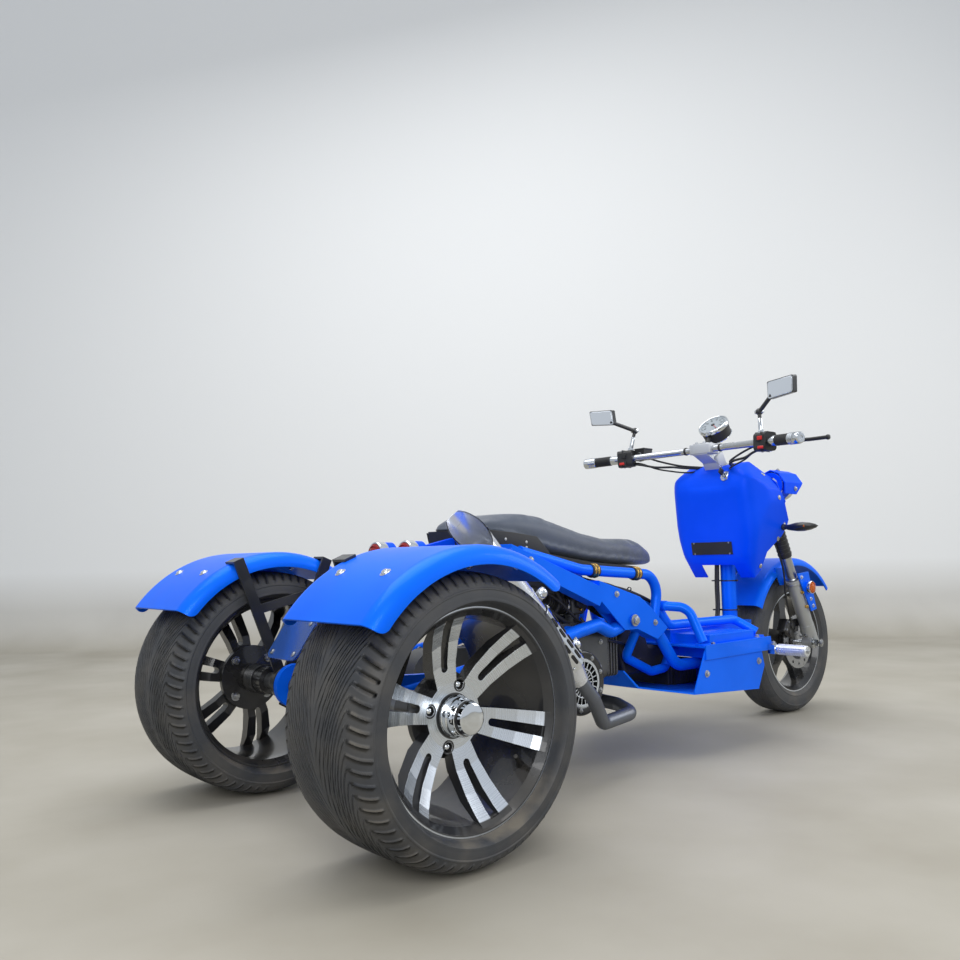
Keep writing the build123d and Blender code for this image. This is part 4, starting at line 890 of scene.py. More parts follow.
def dialDetails():
    # Bright bezel, pale face darkened with painted shade and reflection, marks and plain numbers, and the needle
    dial = {"centre": frontPoint(-0.346, 0, 0.954), "tilt": math.radians(40), "face": 0.0104, "firstMark": 225,
        "sweep": 270, "numbers": 0.0285}
    up = Vector((-math.sin(dial["tilt"]), 0, math.cos(dial["tilt"])))
    ahead = Vector((math.cos(dial["tilt"]), 0, math.sin(dial["tilt"])))
    left = up.cross(ahead)
    centre, face = dial["centre"], dial["face"]

    def needleWay(share):
        # The way a needle points at a share of the scale
        angle = math.radians(dial["firstMark"] - dial["sweep"] * share)
        return ahead * math.sin(angle) + left * math.cos(angle)

    def laidAlong(out):
        return Matrix((out, up.cross(out), up)).transposed().to_4x4()

    mesh = bmesh.new()
    turned(mesh, centre, up, [(0.0502, 0.0005), (0.0508, 0.002), (0.0508, 0.009), (0.0496, 0.0128), (0.0472, 0.0142),
        (0.0452, 0.0136), (0.0448, 0.0106)], 64)
    turned(mesh, centre, up, [(0.0418, -0.034), (0.0452, -0.0368), (0.0468, -0.0345)], 48)
    keep("dialBezel", mesh, "steering", "chrome")
    mesh = bmesh.new()
    turned(mesh, centre, up, [(0.0452, face), (0.044, face + 0.0004), (0.0405, face + 0.0002), (0, face + 0.0002)],
        64)
    keep("dialFace", mesh, "steering", "dialCardPaintedShade", 20)
    marks, needle = bmesh.new(), bmesh.new()
    for mark in range(33):
        out = needleWay(mark / 32)
        long = 0.007 if mark % 4 == 0 else 0.0035
        wide = 0.0012 if mark % 4 == 0 else 0.0006
        slab(marks, centre + out * (0.0405 - long / 2) + up * (face + 0.0005), (long, wide, 0.0004), laidAlong(out))
    for mark in range(9):
        out = needleWay(mark / 8)
        text = bpy.data.curves.new("dialNumber", "FONT")
        text.body = str(mark * 10)
        text.size = 0.0075
        text.align_x, text.align_y = "CENTER", "CENTER"
        text.extrude = 0.0002
        holder = bpy.data.objects.new("dialNumber", text)
        scene.collection.objects.link(holder)
        bpy.context.view_layer.update()
        shape = finalMesh(holder)
        flat = Matrix((-left, ahead, up)).transposed().to_4x4()
        shape.transform(Matrix.Translation(centre + out * dial["numbers"] + up * (face + 0.0005)) @ flat)
        bpy.data.objects.remove(holder)
        marks.from_mesh(shape)
        bpy.data.meshes.remove(shape)
    turned(marks, centre, up, [(0.0062, face), (0.006, face + 0.0022), (0.0045, face + 0.003), (0, face + 0.0031)],
        24)
    out = needleWay(0)
    slab(needle, centre + out * 0.0165 + up * (face + 0.0016), (0.039, 0.0014, 0.0006), laidAlong(out))
    keep("dialMarks", marks, "steering", "blackPlastic")
    keep("dialNeedle", needle, "steering", "redSwitch")


dialDetails()


def clampDetails():
    # Cap bolts and collars of the handlebar clamp, and the top nut of the steering stem
    bar = frontPoint(-0.414, 0, 0.876)
    bright, dark = bmesh.new(), bmesh.new()
    for turn in (-1, 1):
        for along in (-0.013, 0.026):
            bolt(bright, bar + Vector((along, turn * 0.014, 0.018)), (0, 0, 1), 0.0048, 0.0045)
        turned(bright, bar + Vector((0, turn * 0.0238, 0)), (0, turn, 0),
            [(0.0112, 0), (0.0158, 0), (0.0165, 0.0012), (0.0165, 0.013), (0.0158, 0.0142), (0.0112, 0.0142)], 36)
        turned(dark, bar + Vector((0, turn * 0.062, 0)), (0, turn, 0),
            [(0.0111, 0), (0.0125, 0), (0.0128, 0.001), (0.0128, 0.0055), (0.0125, 0.0065), (0.0111, 0.0065)], 32)
    slab(bright, bar + Vector((0.004, 0, 0.001)), (0.05, 0.078, 0.034), rounding=0.004, segments=3)
    for row in range(5):
        slab(bright, bar + Vector((0.004, -0.024 + 0.012 * row, 0.0185)), (0.04, 0.006, 0.003), rounding=0.001)
    stem = Vector((steeringX(0.811), 0, 0.811))
    neck = (bar + stem) / 2
    slab(bright, neck + Vector((0.002, 0, -0.002)), (0.046, 0.06, 0.05), Matrix.Rotation(math.radians(-30), 4, "Y"),
        0.005, 3)
    low, high = stem + Vector((-0.0225, 0, 0.0025)), bar + Vector((-0.0178, 0, -0.015))
    rear = Vector((low.z - high.z, 0, high.x - low.x)).normalized() * 0.003
    plate(bright, [low + Vector((0, -0.0262, 0)), low + Vector((0, 0.0262, 0)), high + Vector((0, 0.0262, 0)),
        high + Vector((0, -0.0262, 0))], rear, 0.001)
    rod(bright, stem - axisUp * 0.001, stem + axisUp * 0.0022, 0.0335, segments=40, rounding=0.0008)
    for turn in (-1, 1):
        bolt(bright, stem + axisUp * 0.0146 + Vector((-0.014, turn * 0.0195, -0.006)), axisUp, 0.0046, 0.004)
    keep("clampBolts", bright, "steering", "castAlloy")
    keep("barCollars", dark, "steering", "blackPlastic")


clampDetails()


def barCables():
    # Brake, throttle and wiring runs from the controls to the steering stem
    well = Vector((steeringX(0.792), 0, 0.792))
    runs = []
    for turn in sides.values():
        bar = barPoint(turn * 0.238)
        for radius, ahead, lift, drop, end in ((0.0032, 0.046, 0.004, 0.03, 0.012),
                (0.0027, 0.012, -0.016, 0.052, -0.008), (0.0038, 0.004, -0.021, 0.036, 0.002)):
            runs.append((radius, [
                bar + Vector((ahead, turn * 0.006, lift)), bar + Vector((ahead, -turn * 0.024, lift - 0.001)),
                bar + Vector((0.03, -turn * 0.06, lift - drop * 0.5)), bar + Vector((0.05, -turn * 0.12, -drop)),
                bar + Vector((0.075, -turn * 0.165, -drop - 0.012)),
                Vector((well.x + 0.036, turn * (0.034 + end * 0.4), 0.83)),
                Vector((well.x + 0.034, turn * (0.024 + end * 0.3), 0.8)),
                Vector((well.x + 0.04, turn * 0.02, 0.775)),
            ]))
    centre = frontPoint(-0.346, 0, 0.954)
    runs.append((0.0034, [centre + Vector((0.024, 0.012, -0.03)), centre + Vector((0.03, 0.014, -0.045)),
        centre + Vector((0.036, 0.03, -0.08)), Vector((well.x + 0.05, 0.026, 0.83)),
        Vector((well.x + 0.046, 0.012, 0.79)), Vector((well.x + 0.044, 0.01, 0.77))]))
    hose("barCables", runs, "steering")


barCables()
print("handlebar done")


# Front fork, lamps and brake


def onNode(node, place, direction):
    # The first point of a CAD node met from a place, and the way its surface faces there
    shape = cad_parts[node]
    direction = Vector(direction).normalized()
    hit, spot, normal, _ = shape.ray_cast(Vector(place), direction)
    if not hit:
        raise RuntimeError(f"nothing of {node} lies that way")
    return spot, normal if normal.dot(direction) < 0 else -normal


def forkDetails():
    boot = {"low": 0.527, "high": 0.654, "ribs": 9, "radius": 0.0228, "slim": 0.0196}
    leg = {"tubeLow": 0.454, "tubeHigh": 0.531, "seal": 0.452, "collar": 0.436, "pinch": 0.262,
        "fittings": (0.408, 0.36)}
    for side, turn in sides.items():
        low, high = legPoint(turn, boot["low"]), legPoint(turn, boot["high"])
        run = (high - low).length
        outline = [(0.0168, 0), (0.0205, 0), (0.0212, 0.004)]
        pitch = (run - 0.01) / boot["ribs"]
        for rib in range(boot["ribs"]):
            foot = 0.005 + pitch * rib
            outline += [(boot["radius"], foot + pitch * 0.35), (boot["radius"], foot + pitch * 0.5),
                (boot["slim"] + 0.0014, foot + pitch * 0.92)]
        outline += [(0.0215, run - 0.003), (0.0205, run), (0.0165, run)]
        rubber, metal, brass = bmesh.new(), bmesh.new(), bmesh.new()
        turned(rubber, low, axisUp, outline, 36)
        keep(f"{side}ForkBoot", rubber, "steering", "gripRubber", 60)
        tubeFoot = legPoint(turn, leg["tubeLow"])
        tube = (legPoint(turn, leg["tubeHigh"]) - tubeFoot).length
        turned(metal, tubeFoot, axisUp, [(0.0166, 0), (0.0173, 0.0008), (0.0173, tube - 0.0008), (0.0166, tube)], 40)
        seal = legPoint(turn, leg["seal"])
        turned(metal, seal, axisUp, [(0.0168, 0.001), (0.0205, 0.0012), (0.0212, 0.0035), (0.0195, 0.0062),
            (0.0168, 0.0068)], 36)
        collar = legPoint(turn, leg["collar"])
        turned(metal, collar, axisUp, [(0.0272, 0.002), (0.0279, 0.0035), (0.0279, 0.006), (0.0272, 0.0075)], 40)
        pinch = legPoint(turn, leg["pinch"])
        bolt(metal, pinch + Vector((-0.0235, 0, 0.0)), (-1, 0, -0.2), 0.005, 0.005)
        bolt(metal, Vector((frontAxle.x, turn * 0.148, frontAxle.z)), (0, turn, 0), 0.0085, 0.0035)
        rod(metal, Vector((frontAxle.x, turn * 0.121, frontAxle.z)),
            Vector((frontAxle.x, turn * 0.1235, frontAxle.z)), 0.0185, segments=32, rounding=0.0006)
        for z in leg["fittings"]:
            spot = legPoint(turn, z) + Vector((0, turn * 0.0235, 0))
            turned(brass, spot + Vector((-0.006, 0, 0)), (-0.2, turn, 0),
                [(0.006, -0.001), (0.006, 0.003), (0.0042, 0.0034), (0.0042, 0.0068), (0.003, 0.0074), (0, 0.0076)],
                6)
        keep(f"{side}ForkMetal", metal, "steering", "zincBolt", 30)
        keep(f"{side}ForkFittings", brass, "steering", "brass", 30)


def sideLamps():
    # Round amber lamps in bright rings outside the fork legs, with the bolts of their brackets
    lamp = {"collar": 0.027, "gap": 0.0003, "bowl": 0.018, "z": 0.424, "rays": 16}
    lens, ring = bmesh.new(), bmesh.new()
    for turn in sides.values():
        outer = steerLine["spread"] + lamp["collar"] + lamp["gap"] + lamp["bowl"]
        spot = Vector((legPoint(turn, 0.42).x + 0.022, turn * outer, lamp["z"]))
        out = Vector((0, turn, 0))
        turned(lens, spot, out, [(0.0185, -0.001), (0.0182, 0.003), (0.016, 0.0062), (0.0125, 0.0078),
            (0.011, 0.0064), (0.0092, 0.0085), (0.005, 0.0094), (0, 0.0096)], 36)
        for ray in range(lamp["rays"]):
            angle = math.tau * ray / lamp["rays"]
            slab(lens, spot + around(angle) * 0.0145 + out * 0.0066, (0.006, 0.003, 0.0011),
                Matrix.Rotation(-angle, 4, "Y"))
        turned(ring, spot, out, [(0.0211, -0.006), (0.0216, 0.001), (0.0208, 0.0038), (0.0192, 0.0044),
            (0.0186, 0.0025)], 40)
        for x, z in ((legPoint(turn, 0.46).x + 0.006, 0.458), (legPoint(turn, 0.39).x + 0.026, 0.385),
                (legPoint(turn, 0.375).x + 0.032, 0.362)):
            bolt(ring, Vector((x, turn * (outer - 0.0142), z)), out, 0.0042, 0.0035)
    keep("sideLampLenses", lens, "steering", "amberLens", 40)
    keep("sideLampRings", ring, "steering", "chrome", 30)


def frontBrake():
    # Caliper over the disc behind the right leg, its bracket, disc bolts and hose
    brake = {"behind": 0.074, "y": -0.062, "up": 0.048, "tilt": 30, "discBolts": 5, "circle": 0.028}
    spot = frontPoint(-brake["behind"], brake["y"], frontAxle.z + brake["up"])
    tilt = Matrix.Rotation(math.radians(brake["tilt"]), 4, "Y")
    body, metal = bmesh.new(), bmesh.new()
    slab(body, spot + Vector((0, -0.013, 0)), (0.058, 0.016, 0.048), tilt, 0.006, 3)
    slab(body, spot + Vector((0, 0.0085, 0)), (0.056, 0.008, 0.044), tilt, 0.003)
    slab(body, spot + tilt @ Vector((-0.024, -0.002, 0.0)), (0.012, 0.03, 0.046), tilt, 0.004)
    leg = legPoint(-1, 0.31)
    slab(body, (spot + Vector((leg.x, -0.084, 0.31))) / 2 + Vector((0.006, -0.006, 0.006)), (0.06, 0.008, 0.026),
        Matrix.Rotation(math.radians(-6), 4, "Y"), 0.002)
    for along in (-0.014, 0.014):
        rod(body, spot + tilt @ Vector((0.002, -0.02, along)), spot + tilt @ Vector((0.002, -0.0255, along)), 0.0115,
            segments=28, rounding=0.0015)
        bolt(metal, spot + tilt @ Vector((-0.022, -0.018, along)), (0, -1, 0), 0.0042, 0.004)
    for count in range(brake["discBolts"]):
        angle = math.tau * (count + 0.5) / brake["discBolts"]
        bolt(metal, Vector((frontAxle.x + brake["circle"] * math.cos(angle), -0.064,
            frontAxle.z + brake["circle"] * math.sin(angle))), (0, -1, 0), 0.004, 0.003)
    keep("brakeCaliper", body, "steering", "blackPaint", 30)
    keep("brakeBolts", metal, "steering", "zincBolt", 30)
    low = spot + tilt @ Vector((-0.01, -0.02, 0.022))
    mid = legPoint(-1, 0.45)
    hose("brakeHose", [(0.0034, [low, low + Vector((-0.012, -0.004, 0.03)), Vector((mid.x - 0.034, -0.092, 0.4)),
        Vector((mid.x - 0.035, -0.1, 0.47)), Vector((legPoint(-1, 0.54).x - 0.03, -0.1, 0.55)),
        Vector((legPoint(-1, 0.62).x - 0.028, -0.088, 0.62)), Vector((legPoint(-1, 0.66).x - 0.02, -0.074, 0.665)),
        Vector((legPoint(-1, 0.7).x - 0.02, -0.05, 0.69))])], "steering")


forkDetails()
sideLamps()
frontBrake()


def headlampDetails():
    # Bright bowls, clear glasses and rings in both hoods, with the hood bolts
    lamp = {"x": frontAxle.x - 0.185 + 0.07, "y": 0.098, "z": 0.762, "ear": 0.0525}
    ring, glass, bulb, screws = bmesh.new(), bmesh.new(), bmesh.new(), bmesh.new()
    for turn in sides.values():
        spot = Vector((lamp["x"], turn * lamp["y"], lamp["z"]))
        turned(ring, spot, (1, 0, 0), [(0.0452, -0.016), (0.0468, -0.014), (0.0472, 0.0015), (0.0455, 0.0045),
            (0.0425, 0.005), (0.041, 0.0035), (0.038, 0.0006), (0.012, 0.0004)], 56)
        turned(glass, spot, (1, 0, 0), [(0.0412, 0.0036), (0.0405, 0.0062), (0.034, 0.0105), (0.02, 0.014),
            (0, 0.0153)], 48)
        turned(bulb, spot, (1, 0, 0), [(0.011, 0.0004), (0.0105, 0.004), (0.006, 0.0075), (0, 0.0085)], 24)
        turned(ring, spot, (-1, 0, 0), [(0.0425, 0.062), (0.0425, 0.066), (0.02, 0.0715), (0.012, 0.0765),
            (0.0, 0.0768)], 40)
        for way in (-1, 1):
            bolt(screws, spot + Vector((-0.006, way * lamp["ear"], -0.012)), (0, way, 0), 0.0052, 0.004)
        bolt(screws, spot + Vector((-0.02, 0, 0.0535)), (0, 0, 1), 0.0042, 0.0035)
    keep("headlampRings", ring, "frame", "chrome", 30)
    keep("headlampBulbs", bulb, "frame", "brass", 30)
    keep("headlampGlasses", glass, "frame", "clearLens", 50)
    keep("headlampBolts", screws, "frame", "zincBolt", 30)


headlampDetails()


def tailLamps():
    lens, ring = bmesh.new(), bmesh.new()
    for turn in sides.values():
        spot = rearPoint(0.154, turn * 0.058, 0.552)
        turned(ring, spot, (-1, 0, 0), [(0.0275, -0.02), (0.0285, -0.018), (0.0288, 0.001), (0.0272, 0.0035),
            (0.0248, 0.0036), (0.0242, 0.0012)], 44)
        turned(lens, spot, (-1, 0, 0), [(0.0243, 0.0008), (0.0235, 0.0055), (0.0185, 0.0095), (0.0165, 0.0078),
            (0.0145, 0.0104), (0.007, 0.0122), (0, 0.0126)], 44)
    keep("tailLampRings", ring, "frame", "chrome", 30)
    keep("tailLampLenses", lens, "frame", "redLens", 40)


def tailSheet():
    # The tinted sheet over the bare plate, with a screw in each corner
    sheet, screws = bmesh.new(), bmesh.new()
    facing = Vector((-0.82, 0, 0.57)).normalized()
    middle = rearPoint(-0.09, 0, 0.376)
    turn = turnTo(middle + facing * 0.0056, facing)
    made = bmesh.ops.create_grid(sheet, x_segments=1, y_segments=1, size=0.5)["verts"]
    bmesh.ops.scale(sheet, verts=made, vec=(0.1, 0.122, 1))
    bmesh.ops.bevel(sheet, geom=list(sheet.faces) + made, offset=0.02, affect="VERTICES", segments=6, profile=0.5,
        material=-1)
    made = bmesh.ops.extrude_face_region(sheet, geom=list(sheet.faces))["geom"]
    bmesh.ops.translate(sheet, verts=vertsIn(made), vec=(0, 0, 0.0028))
    bmesh.ops.transform(sheet, matrix=turn, verts=sheet.verts)
    for x in (-0.036, 0.036):
        for y in (-0.044, 0.044):
            bolt(screws, turn @ Vector((x, y, 0.0028)), facing, 0.004, 0.003, True)
    keep("tailSheet", sheet, "frame", "smokeBlueSheet", 40)
    keep("tailSheetBolts", screws, "frame", "zincBolt", 30)


tailLamps()
tailSheet()
print("lamps and fork done")


# Body and frame


def fenderBolts():
    dome = {"radius": 0.303, "rear": 122, "front": 62, "across": 0.07}
    mesh = bmesh.new()
    for turn in sides.values():
        for degree in (dome["rear"], dome["front"]):
            out = Vector((math.cos(math.radians(degree)), 0, math.sin(math.radians(degree))))
            for across in (-1, 1):
                spot = rearAxle + out * dome["radius"] + Vector((0, turn * wheelSide + across * dome["across"], 0))
                turned(mesh, spot, out, [(0.0105, -0.0005), (0.0105, 0.0012), (0.0078, 0.0015), (0.0074, 0.003),
                    (0.0052, 0.0052), (0, 0.0058)], 24)
                turned(mesh, spot - out * 0.004, -out, [(0.009, 0), (0.009, 0.0012), (0.006, 0.0014), (0.006, 0.006),
                    (0, 0.0064)], 6)
    keep("fenderBolts", mesh, "frame", "chrome", 30)


def railRings():
    # Black sleeves with a pair of brass rings on each seat rail
    rail = {"y": 0.135, "low": 0.505, "from": 0.64, "drop": 0.021, "run": 0.317, "stations": (0.688, 0.855),
        "pair": (-0.0055, 0.0055)}
    black, gold = bmesh.new(), bmesh.new()
    along = Vector((rail["run"], 0, -rail["drop"])).normalized()
    for turn in sides.values():
        for x in rail["stations"]:
            spot = rearPoint(x, turn * rail["y"], rail["low"] - rail["drop"] * (x - rail["from"]) / rail["run"])
            turned(black, spot - along * 0.014, along, [(0.0141, 0), (0.0166, 0.0004), (0.0172, 0.002),
                (0.0172, 0.026), (0.0166, 0.0276), (0.0141, 0.028)], 36)
            for shift in rail["pair"]:
                turned(gold, spot + along * (shift - 0.0032), along,
                    [(0.0171, 0), (0.0181, 0.0005), (0.0188, 0.0018), (0.0188, 0.0046), (0.0181, 0.0059),
                        (0.0171, 0.0064)], 40)
    keep("railSleeves", black, "frame", "blackPlastic", 30)
    keep("railRings", gold, "frame", "brass", 30)


def frameBolts():
    mesh = bmesh.new()
    for turn in sides.values():
        out = Vector((0, turn, 0))
        bolt(mesh, rearPoint(0.782, turn * 0.1905, 0.373), out, 0.0098, 0.007)
        for x, z in ((1.005, 0.221), (1.258, 0.233)):
            bolt(mesh, rearPoint(x, turn * 0.2457, z), out, 0.0062, 0.005)
        for x, y, z in ((1.05, 0.2385, 0.2935), (1.322, 0.205, 0.2935), (1.16, 0.095, 0.3285), (1.3, 0.095, 0.3285),
                (1.04, 0.095, 0.3285)):
            bolt(mesh, rearPoint(x, turn * y, z), (0, 0, 1), 0.0056, 0.005)
        for node, x, z in (("side_frame", 0.72, 0.442), ("side_frame", 0.872, 0.362), ("side_frame", 0.42, 0.532)):
            side = "right" if turn < 0 else "left"
            spot, facing = onNode(f"{side}_{node}", rearPoint(x, turn * 0.6, z), -out)
            bolt(mesh, spot, facing, 0.0052, 0.0045)
    keep("frameBolts", mesh, "frame", "zincBolt", 30)


def pegSleeves():
    # Ribbed bright sleeves on the foot pegs, with end washers and pivot bolts
    peg = {"ribs": 11, "pitch": 0.0074, "flutes": 16, "wide": 0.0152, "slim": 0.014}
    sleeve, bolts = bmesh.new(), bmesh.new()
    wide, slim = peg["wide"], peg["slim"]
    for turn in sides.values():
        spot = frontPoint(-0.484, turn * 0.27, 0.263)
        out = Vector((0, turn, 0))
        outline = [(0.0131, 0.006), (wide, 0.007)]
        for rib in range(peg["ribs"]):
            outline += [(radius, foot + peg["pitch"] * rib) for radius,
                foot in ((wide, 0.008), (wide, 0.0126), (slim, 0.0132), (slim, 0.0146))]
        outline += [(wide, 0.09), (wide, 0.094), (0.0142, 0.0958), (0.008, 0.0958), (0, 0.0958)]
        turned(sleeve, spot, out, outline, 40)
        for flute in range(peg["flutes"]):
            angle = math.tau * flute / peg["flutes"]
            slab(sleeve, spot + out * 0.05 + around(angle) * 0.0148, (0.0016, 0.078, 0.0022),
                Matrix.Rotation(-angle, 4, "Y"))
        bolt(bolts, spot + Vector((0, turn * -0.009, 0.0155)), (0, 0, 1), 0.0052, 0.0045)
        bolt(bolts, spot + Vector((0, turn * 0.0955, 0)), out, 0.005, 0.003)
    keep("pegSleeves", sleeve, "frame", "satinChrome", 30)
    keep("pegBolts", bolts, "frame", "zincBolt", 30)


def carve(mesh, cutter):
    # The mesh with the cutter's form taken away
    made = []
    for name, source in (("carved", mesh), ("cutter", cutter)):
        bmesh.ops.recalc_face_normals(source, faces=source.faces)
        data = bpy.data.meshes.new(name)
        source.to_mesh(data)
        source.free()
        made.append(bpy.data.objects.new(name, data))
        bpy.context.scene.collection.objects.link(made[-1])
    modifier = made[0].modifiers.new("cut", "BOOLEAN")
    modifier.operation, modifier.solver, modifier.object = "DIFFERENCE", "EXACT", made[1]
    bpy.context.view_layer.update()
    shape = made[0].evaluated_get(bpy.context.evaluated_depsgraph_get())
    result = bmesh.new()
    result.from_mesh(shape.to_mesh())
    shape.to_mesh_clear()
    for thing in made:
        data = thing.data
        bpy.data.objects.remove(thing)
        bpy.data.meshes.remove(data)
    return result


def stepped(points, value):
    # A broken line's second number at a value of its first
    for (low, first), (high, second) in zip(points, points[1:]):
        if min(low, high) <= value <= max(low, high):
            return first + (second - first) * (value - low) / (high - low)
    return points[0][1] if abs(value - points[0][0]) < abs(value - points[-1][0]) else points[-1][1]


def boxShell():
    # The moulded box: the solid's form with soft corners and a dished panel below the stem
    box = {"wall": 0.004, "corner": 0.036, "dish": 0.0055, "dishHalf": 0.078}
    rear = [(1.489, 0.834), (1.468, 0.8315), (1.447, 0.825), (1.428, 0.814), (1.4145, 0.80), (1.405, 0.784),
        (1.399, 0.766), (1.3972, 0.748), (1.3987, 0.73), (1.403, 0.7), (1.409, 0.66), (1.415, 0.62), (1.421, 0.58),
        (1.4262, 0.545), (1.4295, 0.527), (1.436, 0.51), (1.447, 0.495), (1.46, 0.479), (1.474, 0.463)]
    rim = [(0.834, 1.492), (0.644, 1.619), (0.612, 1.602), (0.462, 1.478)]
    halves = [(0.834, 0.096), (0.828, 0.1045), (0.81, 0.1205), (0.79, 0.1385), (0.775, 0.151), (0.76, 0.1595),
        (0.74, 0.165), (0.706, 0.1675), (0.67, 0.1605), (0.54, 0.136), (0.462, 0.112)]
    plan = [(1.37, 0.13), (1.5, 0.168), (1.7, 0.168)]
    mesh, rows = bmesh.new(), []
    steps = [(x + (nextX - x) * part / 3, z + (nextZ - z) * part / 3) for (x, z),
        (nextX, nextZ) in zip(rear, rear[1:]) for part in range(3)] + [rear[-1]]
    for back, z in steps:
        front, half = stepped(rim, z), stepped(halves, z)
        corner = min(stepped(plan, back), half)
        soft = min(box["corner"], 0.45 * (front - back) + 0.0002)

        def sideAt(x):
            return min(stepped(plan, x), half)

        line = []
        for part in range(11):
            y = (corner - soft) * part / 10
            fade = max(0.0, min(1.0, (box["dishHalf"] - y) / 0.014)) * max(0.0,
                min(1.0, (z - 0.736) / 0.03)) * max(0.0, min(1.0, (0.834 - z) / 0.006))
            line.append((back + box["dish"] * fade * fade * (3 - 2 * fade), y))
        for part in range(1, 9):
            t = part / 9
            line.append((back + soft * t * t,
                (1 - t) ** 2 * (corner - soft) + 2 * t * (1 - t) * corner + t * t * sideAt(back + soft)))
        line += [(x, sideAt(x)) for x in (back + soft + (front - back - soft) * part / 10 for part in range(11))]
        row = [(x, -y) for x, y in reversed(line[1:])] + line
        rows.append([mesh.verts.new(rearPoint(x, y, z)) for x, y in row])
    for upper, lower in zip(rows, rows[1:]):
        for first in range(len(upper) - 1):
            mesh.faces.new((upper[first], lower[first], lower[first + 1], upper[first + 1]))
    mesh.normal_update()
    mesh.faces.ensure_lookup_table()
    middle = mesh.faces[len(mesh.faces) // 2]
    outward = middle.normal.dot(middle.calc_center_median() - rearPoint(1.5, 0, 0.65)) > 0
    if not outward:
        bmesh.ops.reverse_faces(mesh, faces=mesh.faces)
    bmesh.ops.solidify(mesh, geom=list(mesh.faces), thickness=box["wall"])
    foot = bmesh.new()
    plate(foot, [rearPoint(x, -0.19, z) for x, z in ((1.64, 0.6), (1.59, 0.596), (1.512, 0.543), (1.488, 0.44),
        (1.64, 0.44))], (0, 0.38, 0), 0)
    mesh = carve(mesh, foot)
    for x, z, size in ((1.462, 0.452, (0.17, 0.124, 0.104)), (frontAxle.x - rearAxle.x - 0.303, 0.49,
            (0.11, 0.064, 0.18))):
        gap = bmesh.new()
        slab(gap, rearPoint(x, 0, z), size, rounding=0)
        mesh = carve(mesh, gap)
    stem = Vector((steeringX(0.76), 0, 0.76))
    gap = bmesh.new()
    rod(gap, stem, stem + axisUp * 0.2, 0.046, segments=48, rounding=0)
    mesh = carve(mesh, gap)
    tree = BVHTree.FromBMesh(mesh)
    piece = keep("boxShell", mesh, "frame", "bluePlastic", 46)
    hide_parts("front_box")
    return tree


boxTree = boxShell()


def onBox(place, direction):
    spot, normal = boxTree.ray_cast(place, Vector(direction))[:2]
    return spot, normal if normal.dot(Vector(direction)) < 0 else -normal


def boxBolts():
    bolts = bmesh.new()
    for turn in sides.values():
        for x, z in ((1.506, 0.79), (1.594, 0.63), (1.548, 0.716), (1.566, 0.585), (1.49, 0.5)):
            spot, facing = onBox(rearPoint(x, turn * 0.5, z), (0, -turn, 0))
            bolt(bolts, spot, facing, 0.005, 0.0036, True)
    keep("boxBolts", bolts, "frame", "zincBolt", 30)


def blankPlate():
    # A bare riveted plate on the box's rear face
    card, rivets, flat = bmesh.new(), bmesh.new(), []
    for y, z in ((0.084, 0.578), (-0.068, 0.578), (-0.068, 0.538), (0.084, 0.538)):
        spot, facing = onBox(rearPoint(1.0, y, z), (1, 0, 0))
        flat.append(spot + facing * 0.0012)
    plate(card, flat, facing * 0.0012)
    middle = sum(flat, Vector()) / 4
    for corner in flat:
        spot = middle + (corner - middle) * 0.86 + facing * 0.0011
        turned(rivets, spot, facing, [(0.0028, 0), (0.0026, 0.0009), (0, 0.0015)], 16)
    keep("blankPlate", card, "frame", "blackPlastic", 30)
    keep("plateRivets", rivets, "frame", "zincBolt", 30)


def keySwitch():
    lock, keyHead = bmesh.new(), bmesh.new()
    spot, facing = onBox(rearPoint(1.0, -0.061, 0.787), (1, 0, 0))
    facing = (facing + Vector((-0.15, 0, 0.1))).normalized()
    turned(lock, spot - facing * 0.004, facing, [(0.0185, 0), (0.0185, 0.004), (0.0165, 0.0065), (0.0145, 0.0068),
        (0.0135, 0.0098), (0.0105, 0.0105), (0.0098, 0.009), (0, 0.009)], 40)
    turn = turnTo(spot, facing)
    upright = turn.to_3x3().to_4x4()
    slab(lock, turn @ Vector((0, 0, 0.0115)), (0.0085, 0.0022, 0.016), upright, 0.0005)
    slab(keyHead, turn @ Vector((0, 0, 0.0265)), (0.0215, 0.0062, 0.021), upright, 0.0028, 3)
    hoop(lock, turn @ Vector((0.0115, 0, 0.0335)), turn.to_3x3() @ Vector((0, 1, 0.3)), (0.0052, 0.0063),
        (-0.0006, 0.0006), 24)
    keep("keySwitch", lock, "frame", "chrome", 30)
    keep("keyHead", keyHead, "frame", "blackPlastic", 40)


def postHoses():
    # Three hoses down the steering post, tied twice
    post = frontPoint(-0.303, 0, 0)
    runs = []
    for y, x, radius in ((0.0305, -0.021, 0.0062), (0.0195, -0.0315, 0.0055), (0.0365, -0.0065, 0.0042)):
        foot = post + Vector((x, y, 0.328))
        runs.append((radius, [foot + Vector((-0.01, 0, -0.002)), foot + Vector((-0.004, 0, 0.018)),
            foot + Vector((0, 0, 0.05)), foot + Vector((0.001, y * 0.1, 0.1)), foot + Vector((0.001, 0, 0.15)),
            foot + Vector((0.004, 0, 0.19)), foot + Vector((0.012, 0, 0.235))]))
    hose("postHoses", runs, "frame")
    ties = bmesh.new()
    for z in (0.357, 0.451):
        hoop(ties, post + Vector((0, 0, z)), (0, 0, 1), (0.0241, 0.0255), (0, 0.0036), 40)
        hoop(ties, post + Vector((-0.0205, 0.0275, z)), (0, 0, 1), (0.0178, 0.019), (0, 0.0036), 28)
        slab(ties, post + Vector((0.006, -0.0275, z + 0.0018)), (0.007, 0.006, 0.0055), rounding=0.001)
    keep("postTies", ties, "frame", "blackPlastic", 30)


fenderBolts()
railRings()
frameBolts()
pegSleeves()
boxBolts()
blankPlate()
keySwitch()
postHoses()
print("frame details done")


